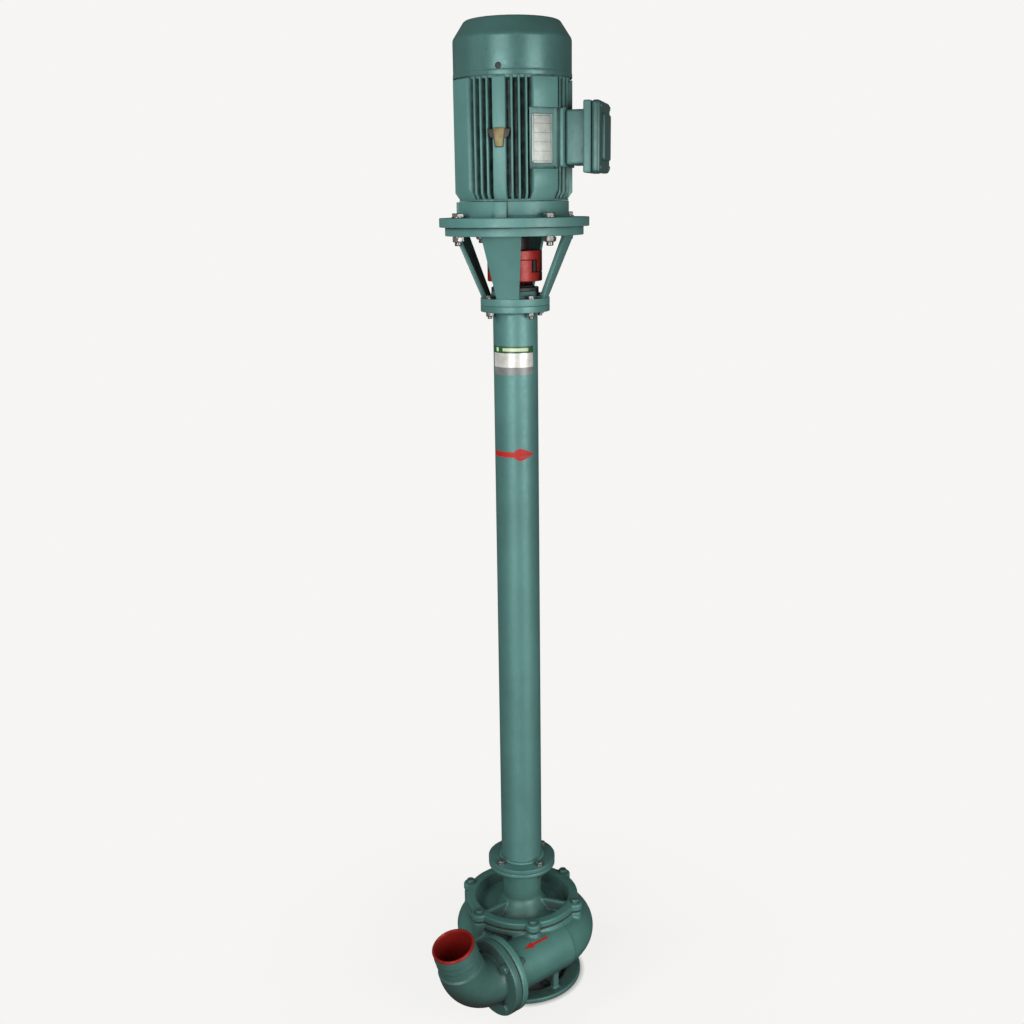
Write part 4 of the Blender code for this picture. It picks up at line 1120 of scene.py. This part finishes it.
def motor_frame():
    low = FRAME_LOW + 0.0008
    high = FRAME_TOP - 0.0005
    barrel = turned("fine_motor_frame", [(0.0, FRAME_TOP), (BARREL_R + 0.004, FRAME_TOP),
        (BARREL_R + 0.004, FRAME_TOP - 0.004), (BARREL_R, FRAME_TOP - 0.006),
        (BARREL_R, FRAME_LOW + 0.006), (SHIELD_R - 0.0005, FRAME_LOW + 0.003),
        (SHIELD_R - 0.0005, FRAME_LOW), (0.0, FRAME_LOW)], 0.0012)
    fins = bmesh.new()
    for angle in fin_angles():
        add_fin(fins, angle, FIN_ROOT_R, FIN_TIP_R, low, high)
    bars = boxes_around(BAR_ANGLES, (FIN_ROOT_R, -BAR_HALF, FRAME_LOW + 0.0004),
                        (BAR_FRONT, BAR_HALF, high - 0.0004), 0.0016)
    pads = boxes_around([math.pi / 4 + math.pi / 2 * i for i in range(4)],
                        (0.0795, -0.023, low + 0.0003), (0.0985, 0.023, high - 0.0002), 0.0018)
    boss = soft_box("boss", (0.075, -BOSS_HALF, BOSS_LOW),
                    (BOSS_FACE + 0.004, BOSS_HALF, BOSS_HIGH), 0.003)
    join(barrel, mesh_object("fins", fins), bars, pads, boss)
    above = 1.7
    below = 1.4
    chamfer_top = 1.4905
    foot_r = SHIELD_R - 0.0004
    skirt = lathe("skirt", [(0.0, above), (0.102, above), (0.102, chamfer_top),
                            (0.089, FRAME_LOW + 0.002), (foot_r, FRAME_LOW + 0.0018), (foot_r, below),
                            (0.0, below)],
                  closed=False, place=around(0.02))
    combined(barrel, "INTERSECT", [skirt])
    name_seat = boxes_around([NAME_ANGLE], (NAME_SEAT_R, -0.03, 1.5185), (0.12, 0.03, 1.6115))
    boss_trim = soft_box("boss_trim", (BOSS_FACE, -BOSS_HALF - 0.0015, BOSS_LOW - 0.0015),
                         (0.13, BOSS_HALF + 0.0015, BOSS_HIGH + 0.0015), 0.0)
    bore = lathe("bore", [(0.0, above), (0.0748, above), (0.0748, below), (0.0, below)], closed=False,
                 place=around(0.02))
    lead_hole = rods([facing((0.06, 0, LEAD_HEIGHT), (1, 0, 0))], LEAD_HOLE_R, 0.05)
    cut(barrel, name_seat, boss_trim, bore, lead_hole)
    eased(barrel, 0.0005, 40.0)
    finished(barrel, PAINT_FINS, "motor_frame")


def fan_cowl():
    sheet = 0.002
    shoulder = 1.7195
    crown_r = 0.0775
    crown = 1.7475
    outside = rounded([(0.0, COWL_TOP), (0.045, COWL_TOP - 0.0012), (crown_r, crown),
                       (COWL_R - 0.0006, shoulder), (COWL_R - 0.0006, COWL_LOW + 0.0075),
                       (COWL_R, COWL_LOW + 0.0065), (COWL_R, COWL_LOW)], 0.0035, closed=False, steps=5)
    inside = [(COWL_R - sheet, COWL_LOW), (COWL_R - sheet, shoulder - 0.0008),
              (crown_r - 0.0015, crown - 0.0022), (0.045, COWL_TOP - 0.0034),
              (0.0, COWL_TOP - sheet - 0.0002)]
    cowl = lathe("fine_fan_cowl", outside + inside, closed=False)
    slots = bmesh.new()
    for ring in range(3):
        inner = 0.018 + 0.0165 * ring
        for number in range(6):
            add_prism(slots, sector(inner, inner + 0.009, math.radians(60.0 * number + 30.0 * ring),
                                    math.radians(30.0) - 0.0035 / inner, 12), crown - 0.0125, 1.77)
    cut(cowl, mesh_object("slots", slots))
    finished(cowl, PAINT_SHEET, "fan_cowl")
    seat_r = COWL_R - 0.0012
    places = [facing((seat_r * math.cos(a), seat_r * math.sin(a), COWL_LOW + 0.0125),
                     (math.cos(a), math.sin(a), 0.0)) for a in (-math.pi / 2, math.pi / 2, math.pi)]
    screws("cowl_screw", places, 0.0052, 0.0018, IRON)


def upper_end_shield():
    low = low_of("upper_end_shield")
    shield = turned("fine_upper_end_shield", [(0.0155, 1.684), (0.036, 1.684), (0.040, 1.672),
        (0.093, 1.667), (0.093, low), (0.040, low), (0.036, 1.655), (0.0265, 1.655), (0.0265, 1.676),
        (0.0155, 1.676)], 0.0010)
    finished(shield, PAINT_CAST, "upper_end_shield")


BOX_HALF = 0.042
BOX_LOW = 1.525
BOX_HIGH = 1.609
BOX_WALL = 0.004
RIM_HALF = 0.050
RIM_LOW = 1.512
RIM_HIGH = 1.622
GLAND_X = 0.1115
GLAND_HEIGHT = 1.545


def box_cavity(back, front):
    """The hollow that the terminal box and its lid share."""
    half = BOX_HALF - BOX_WALL
    return soft_box("cavity", (back, -half, BOX_LOW + BOX_WALL),
                    (front, half, BOX_HIGH - BOX_WALL), 0.002)


def terminal_box():
    back = 0.0953
    body = soft_box("fine_terminal_box", (back, -BOX_HALF, BOX_LOW), (0.134, BOX_HALF, BOX_HIGH), 0.004)
    join(body, soft_box("rim", (0.1245, -RIM_HALF, RIM_LOW), (0.137, RIM_HALF, RIM_HIGH), 0.0024))
    cut(body, box_cavity(back + BOX_WALL, 0.15),
        rods([facing((0.08, 0, LEAD_HEIGHT), (1, 0, 0))], LEAD_HOLE_R, 0.03),
        rods([facing((GLAND_X, 0.03, GLAND_HEIGHT), (0, 1, 0))], 0.0086, 0.03))
    finished(body, PAINT_BOX, "terminal_box")


def terminal_box_lid():
    step = 0.152
    inset = 0.019
    back, front = (corner.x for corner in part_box("terminal_box_lid"))
    lid = soft_box("fine_terminal_box_lid", (back, -RIM_HALF, RIM_LOW),
                   (step, RIM_HALF, RIM_HIGH), 0.0050)
    join(lid, soft_box("centre", (step - 0.004, -RIM_HALF + inset, RIM_LOW + inset),
                       (front, RIM_HALF - inset, RIM_HIGH - inset), 0.0035))
    cut(lid, box_cavity(0.13, 0.147))
    finished(lid, PAINT_DARK, "terminal_box_lid")
    aside = RIM_HALF - 0.0085
    low = RIM_LOW + 0.0085
    high = RIM_HIGH - 0.0085
    corners = [facing((step - 0.0004, y, z), (1, 0, 0), roll) for y, z, roll in
               ((-aside, low, 0.4), (aside, low, 1.1), (-aside, high, 2.0), (aside, high, 0.0))]
    screws("lid_screw", corners, 0.0040, 0.0022, PAINT_BOLT)


def terminal_board():
    board = soft_box("fine_terminal_board", (0.0996, -0.026, 1.539), (0.106, 0.026, 1.593), 0.001)
    finished(board, PLASTIC, "terminal_board")
    posts = bmesh.new()
    for column in (-1, 0, 1):
        for row in (0, 1):
            place = facing((0.106, 0.016 * column, 1.557 + 0.018 * row), (1, 0, 0))
            add_thread(posts, place, 0.0024, 0.0, 0.0135)
            add_hexagon(posts, place, 0.0080, 0.0004, 0.0038)
    finished(mesh_object("terminal_posts", posts), BRONZE)


def cable_gland():
    bm = bmesh.new()
    place = facing((GLAND_X, BOX_HALF + GAP, GLAND_HEIGHT), (0, 1, 0))
    bore = 0.0045
    profile = rounded([(bore, 0.026), (0.0078, 0.026), (0.0104, 0.0215), (0.0112, 0.0120),
                       (0.0082, 0.0115), (0.0082, -0.0075), (bore, -0.0075)], 0.0008)
    add_lathe(bm, profile, SMALL_ROUND, place)
    gland = mesh_object("fine_cable_gland", bm)
    collar = bmesh.new()
    add_hexagon(collar, place, 0.0216, 0.0, 0.0105)
    hexagon = mesh_object("collar", collar)
    cut(hexagon, rods([place @ Matrix.Translation((0, 0, -0.01))], 0.0060, 0.04, SMALL_ROUND))
    join(gland, hexagon)
    finished(gland, PLASTIC, "cable_gland")


def nameplate():
    """A blank plate with a ruled border and four ruled lines, held by four rivets."""
    seat = NAME_SEAT_R + GAP
    face = seat + 0.0010
    half = 0.019
    low = 1.528
    high = 1.602
    turn = around(NAME_ANGLE)
    plate = soft_box("fine_motor_nameplate", (seat, -half, low), (face, half, high), 0.0003, turn)
    finished(plate, PLATE, "motor_nameplate")
    rule = 0.0006
    side = half - 0.0025
    first = low + 0.0025
    last = high - 0.0025
    strokes = [(-side, first, side, first + rule), (-side, last - rule, side, last),
               (-side, first, -side + rule, last), (side - rule, first, side, last)]
    strokes += [(-side, height, side, height + thick) for height, thick in
                ((1.5875, 0.0005), (1.5735, 0.0004), (1.5595, 0.0004), (1.5455, 0.0004))]
    border = bmesh.new()
    for left, under, right, over in strokes:
        add_box(border, (face - 0.0002, left, under), (face + 0.00015, right, over), turn)
    finished(mesh_object("nameplate_lines", border), PAINT_DARK)
    direction = (math.cos(NAME_ANGLE), math.sin(NAME_ANGLE), 0.0)
    aside = half - 0.0017
    corners = [(y, z) for z in (low + 0.0017, high - 0.0017) for y in (-aside, aside)]
    for number, (y, z) in enumerate(corners, 1):
        rivet = bmesh.new()
        add_lathe(rivet, [(0.0, 0.0009), (0.0007, 0.0008), (0.0012, 0.0004), (0.0014, 0.0), (0.0, 0.0)],
                  16, facing(turn @ Vector((face, y, z)), direction), closed=False)
        finished(mesh_object(f"nameplate_rivet_{number}", rivet), ZINC)


def badge():
    """A blank badge on the motor's front bar: a dark winged plate, painted shade round the badge, with a
    metal shield on its middle.
    """
    middle = 1.5665
    wings = [(-0.0185, 0.0125), (0.0185, 0.0125), (0.0150, 0.0015), (0.0085, -0.0020),
             (0.0065, -0.0150), (-0.0065, -0.0150), (-0.0085, -0.0020), (-0.0150, 0.0015)]
    shield = [(-0.0092, 0.0145), (0.0092, 0.0145), (0.0055, -0.0135), (-0.0055, -0.0135)]
    stand = Matrix(((1, 0, 0, 0), (0, 0, -1, -BAR_FRONT), (0, 1, 0, middle), (0, 0, 0, 1)))
    for name, outline, lift, material in (("badge", wings, 0.0012, BADGE_SHADE),
                                          ("badge_shield", shield, 0.0020, GOLD)):
        bm = bmesh.new()
        add_prism(bm, outline, 0.0, lift)
        plate = mesh_object(name, bm)
        plate.data.transform(stand)
        eased(plate, 0.0003)
        finished(plate, material)


def rotor_pieces():
    """Shafts, impeller and fan: fine meshes where they can be seen through the openings."""
    shaft = turned("fine_motor_shaft", [(0.0, 1.716), (0.0092, 1.716), (0.0092, 1.687),
        (0.0122, 1.686), (0.0122, 1.656), (0.0150, 1.655), (0.0150, 1.468), (0.0147, 1.4675),
        (0.0147, 1.4445), (0.0137, 1.4435), (0.0137, 1.3775), (0.0, 1.3775)], 0.0005, SMALL_ROUND)
    finished(shaft, STEEL, "motor_shaft", body=ROTOR_BODY)
    spindle = turned("fine_pump_shaft", [(0.0, 1.353), (0.0137, 1.353), (0.0137, 1.3355),
        (0.0150, 1.335), (0.0150, 1.3065), (0.017, 1.306), (0.017, 0.1455), (0.0120, 0.1455),
        (0.0120, 0.1005), (0.0078, 0.1003), (0.0078, 0.078), (0.0, 0.078)], 0.0005, SMALL_ROUND)
    finished(spindle, STEEL, "pump_shaft", body=ROTOR_BODY)
    nut = bmesh.new()
    place = Matrix.Translation((0, 0, 0.0997)) @ Matrix.Rotation(math.pi, 4, "X")
    add_hexagon(nut, place, 0.024, 0.0, 0.0192)
    fine_nut = mesh_object("fine_impeller_nut", nut)
    cut(fine_nut, rods([Matrix.Translation((0, 0, 0.06))], 0.0080, 0.06, 32))
    finished(fine_nut, STEEL, "impeller_nut", body=ROTOR_BODY)


def cooling_fan():
    disc = turned("fine_cooling_fan", [(0.0096, 1.712), (0.016, 1.712), (0.0175, 1.692),
        (0.083, 1.692), (0.083, 1.6885), (0.0096, 1.6885)], 0.0010)
    blade_angles = [2 * math.pi * i / 8 for i in range(8)]
    join(disc, boxes_around(blade_angles, (0.0165, -0.0014, 1.690), (0.0825, 0.0014, 1.722),
                            0.0006))
    finished(disc, PLASTIC, "cooling_fan", body=ROTOR_BODY)


def vane_outline(start, steps=28):
    """A backward-curved vane: its tip trails the turn."""
    inner = 0.0195
    outer = 0.0745
    half = 0.0024
    trail = math.radians(62.0)
    points = []
    for i in range(steps + 1):
        share = i / steps
        radius = inner + (outer - inner) * share
        angle = start + trail * share
        points.append(Vector((radius * math.cos(angle), radius * math.sin(angle))))
    left = []
    right = []
    for i, point in enumerate(points):
        along = (points[min(i + 1, steps)] - points[max(i - 1, 0)]).normalized()
        across = Vector((-along.y, along.x)) * half
        left.append(tuple(point + across))
        right.append(tuple(point - across))
    return right + left[::-1]


def impeller():
    hub = turned("fine_impeller", [(0.0123, 0.145), (0.020, 0.145), (0.0225, 0.140), (0.0755, 0.138),
        (0.0755, 0.133), (0.030, 0.131), (0.0225, 0.120), (0.019, 0.100), (0.0123, 0.100)], 0.0010)
    vanes = bmesh.new()
    for number in range(5):
        add_prism(vanes, vane_outline(2 * math.pi * number / 5), 0.0985, 0.1345)
    join(hub, mesh_object("vanes", vanes))
    finished(hub, IRON, "impeller", body=ROTOR_BODY)


def inner_nodes():
    """Paints the CAD nodes that stay as they are, all of them shut inside the motor and the bearings."""
    finishes = {"stator_core": LAMINATED, "rotor_core": LAMINATED, "upper_winding": COPPER,
                "lower_winding": COPPER, "lower_bush": BRONZE, "shaft_seal": RUBBER}
    for bearing in ("upper_motor_bearing", "lower_motor_bearing", "column_bearing"):
        finishes[bearing + "_outer"] = STEEL
        finishes[bearing + "_inner"] = STEEL
    for node, material in finishes.items():
        data = frame["nodes"][node].data
        data.materials.clear()
        data.materials.append(material)


def arrow_rows(tail, half_tail, half_head, barb, point):
    """Rows of an arrow that points across: a plain tail up to 0, then a head widest at the barb."""
    rows = []
    for side in (-1.0, 1.0):
        steps = 7
        flank = []
        for step in range(steps + 1):
            share = step / steps
            along = half_tail + (half_head - half_tail) * share
            back = barb * share ** 1.6
            front = barb + (point - barb) * (1.0 - along / half_head) ** 0.85
            flank.append((side * along, back, front + 0.0001))
        rows.append(flank if side > 0 else flank[::-1])
    tip_at_tail = rows[1][0][2]
    middle = [(along * half_tail, -tail, tip_at_tail + (point - tip_at_tail) * (1.0 - abs(along)))
              for along in (-0.999, -0.5, 0.0, 0.5, 0.999)]
    return rows[0] + middle + rows[1]


def pump_marks():
    """The blank label round the pipe and the two red arrows of the sense of turning."""
    skin = COLUMN_R + 0.0001
    front = around(math.radians(-88.0))
    half = 0.0405
    for name, low, high, material in (("label_header", 1.2222, 1.2335, LABEL_GREEN),
                                      ("label_field", 1.1980, 1.2220, LABEL_WHITE),
                                      ("label_footer", 1.1850, 1.1978, LABEL_GREY)):
        decal(name, front, skin, [(low, -half, half), (high, -half, half)], 0.00014, material)
    decal("label_strip", front, skin + 0.00014, [(1.2252, -0.016, 0.030), (1.2306, -0.016, 0.030)],
          0.00008, LABEL_PALE)
    decal("label_spot", front, skin + 0.00014, [(1.2246, -0.031, -0.0250), (1.2312, -0.031, -0.0250)],
          0.00008, LABEL_PALE)
    arrow = arrow_rows(0.047, 0.0046, 0.0112, 0.010, 0.038)
    turned = around(math.radians(-84.0)) @ Matrix.Translation((0, 0, 1.048))
    decal("turning_arrow", turned, skin, arrow, 0.00012, PAINT_MARK)
    flow = [(0.037, -0.0022, 0.0022), (0.0720, -0.0022, 0.0022), (0.0722, -0.0062, 0.0062),
            (0.092, -0.0003, 0.0003)]
    decal("flow_arrow", nozzle_frame(0.0) @ around(math.radians(66.0)), NOZZLE_R + 0.0002, flow, 0.0003,
          PAINT_MARK)


def all_bolts():
    foot_plate_top = COLUMN_LOW + FOOT_PLATE
    bolts("motor_flange_bolt", flange_bolt_places(FLANGE_TOP + GAP), M12, 0.0296)
    bolts("column_top_bolt", top_bolt_places(LANTERN_SEAT + GAP), M8, 0.0231)
    bolts("column_foot_bolt", foot_bolt_places(foot_plate_top + GAP), M8, 0.0176)
    bolts("cover_bolt", boss_places(COVER_RIM + 0.0009), M8_WIDE, 0.0265, nut=False, painted=True)
    bolts("discharge_bolt", nozzle_bolt_places(ELBOW_START + GAP), M10, 0.0302, painted=True)


# Stage: floor, light and camera

PAPER = (0.921, 0.914, 0.896, 1.0)


def floor():
    """A pale floor that glows evenly except inside the foot ring, where a painted shadow is left dark,
    with a faint shadow that thins out to the background.
    """
    bm = bmesh.new()
    bmesh.ops.create_circle(bm, cap_ends=True, segments=64, radius=3.0)
    ground = mesh_object("studio_floor", bm)
    n = Nodes("studio_paper")
    n.shader.inputs["Base Color"].default_value = (0.13, 0.129, 0.127, 1.0)
    n.shader.inputs["Roughness"].default_value = 0.9
    n.shader.inputs["Emission Color"].default_value = tint(PAPER, 0.88)
    path = n.add("ShaderNodeLightPath")
    length = n.add("ShaderNodeVectorMath", operation="LENGTH")
    n.link(n.place, length.inputs[0])
    # Painted shadow: the floor glows only outside the foot ring, and stays dark inside it.
    outside_painted_shadow = n.levels(length.outputs["Value"], 0.104, 0.122)
    n.link(n.maths("MULTIPLY", path.outputs["Is Camera Ray"], outside_painted_shadow),
           n.shader.inputs["Emission Strength"])
    clear = n.add("ShaderNodeBsdfTransparent")
    blend = n.add("ShaderNodeMixShader")
    n.link(n.levels(length.outputs["Value"], 0.15, 0.60), blend.inputs["Fac"])
    n.link(n.shader.outputs["BSDF"], blend.inputs[1])
    n.link(clear.outputs["BSDF"], blend.inputs[2])
    n.link(blend.outputs["Shader"], n.tree.nodes["Material Output"].inputs["Surface"])
    ground.data.materials.append(n.material)


def world():
    """Pale paper behind the object, and a dimmer grey room in its reflections."""
    made = bpy.data.worlds.new("studio")
    made.use_nodes = True
    tree = made.node_tree
    room = tree.nodes["Background"]
    room.inputs["Color"].default_value = (1.0, 1.0, 0.985, 1.0)
    room.inputs["Strength"].default_value = 0.10
    paper = tree.nodes.new("ShaderNodeBackground")
    paper.inputs["Color"].default_value = PAPER
    path = tree.nodes.new("ShaderNodeLightPath")
    either = tree.nodes.new("ShaderNodeMixShader")
    tree.links.new(path.outputs["Is Camera Ray"], either.inputs["Fac"])
    tree.links.new(room.outputs["Background"], either.inputs[1])
    tree.links.new(paper.outputs["Background"], either.inputs[2])
    tree.links.new(either.outputs["Shader"], tree.nodes["World Output"].inputs["Surface"])
    bpy.context.scene.world = made


def softbox(name, place, target, width, height, power):
    data = bpy.data.lights.new(name, "AREA")
    data.shape = "RECTANGLE"
    data.size = width
    data.size_y = height
    data.energy = power
    lamp = bpy.data.objects.new(name, data)
    bpy.context.scene.collection.objects.link(lamp)
    lamp.location = place
    lamp.rotation_euler = (Vector(target) - Vector(place)).to_track_quat("-Z", "Y").to_euler()
    return lamp


def lights():
    softbox("left_softbox", (-0.37, -2.47, 1.15), (0.0, 0.0, 1.05), 1.3, 1.9, 42.0)
    softbox("right_softbox", (2.04, -1.45, 1.06), (0.0, 0.0, 0.96), 1.3, 1.9, 45.0)
    fill = softbox("motor_fill", (-1.35, -0.85, 1.95), (0.0, 0.0, 1.60), 0.7, 0.7, 17.0)
    fill.visible_glossy = False


def camera():
    """Stands a little left of the pump's front corner, looks down on it, and leans by under a degree."""
    data = bpy.data.cameras.new("camera")
    data.lens = 41.84
    data.sensor_width = 36.0
    made = bpy.data.objects.new("camera", data)
    bpy.context.scene.collection.objects.link(made)
    place = (0.4664, -1.9860, 1.465 - FOOT_LOW)
    level = Vector((-0.2334, 0.9724, 0.0))
    pitch = math.radians(-14.5)
    lean = math.radians(-0.75)
    forward = level * math.cos(pitch) + UP * math.sin(pitch)
    turn = forward.to_track_quat("-Z", "Y").to_matrix().to_4x4()
    made.matrix_world = Matrix.Translation(place) @ turn @ Matrix.Rotation(lean, 4, "Z")
    bpy.context.scene.camera = made


def build():
    camera()
    for make in (volute_casing, pump_cover, cover_gasket, suction_base, discharge_elbow,
                 discharge_gasket, mouth_paint, throat_paint, column_pipe, lantern, bearing_cap,
                 coupling, motor_flange, motor_frame, upper_end_shield, fan_cowl, terminal_box,
                 terminal_box_lid, terminal_board, cable_gland, nameplate, badge, rotor_pieces,
                 cooling_fan, impeller, all_bolts, inner_nodes, pump_marks, floor, world, lights):
        make()


build()
bpy.context.scene.view_settings.view_transform = "Standard"
bpy.context.view_layer.update()
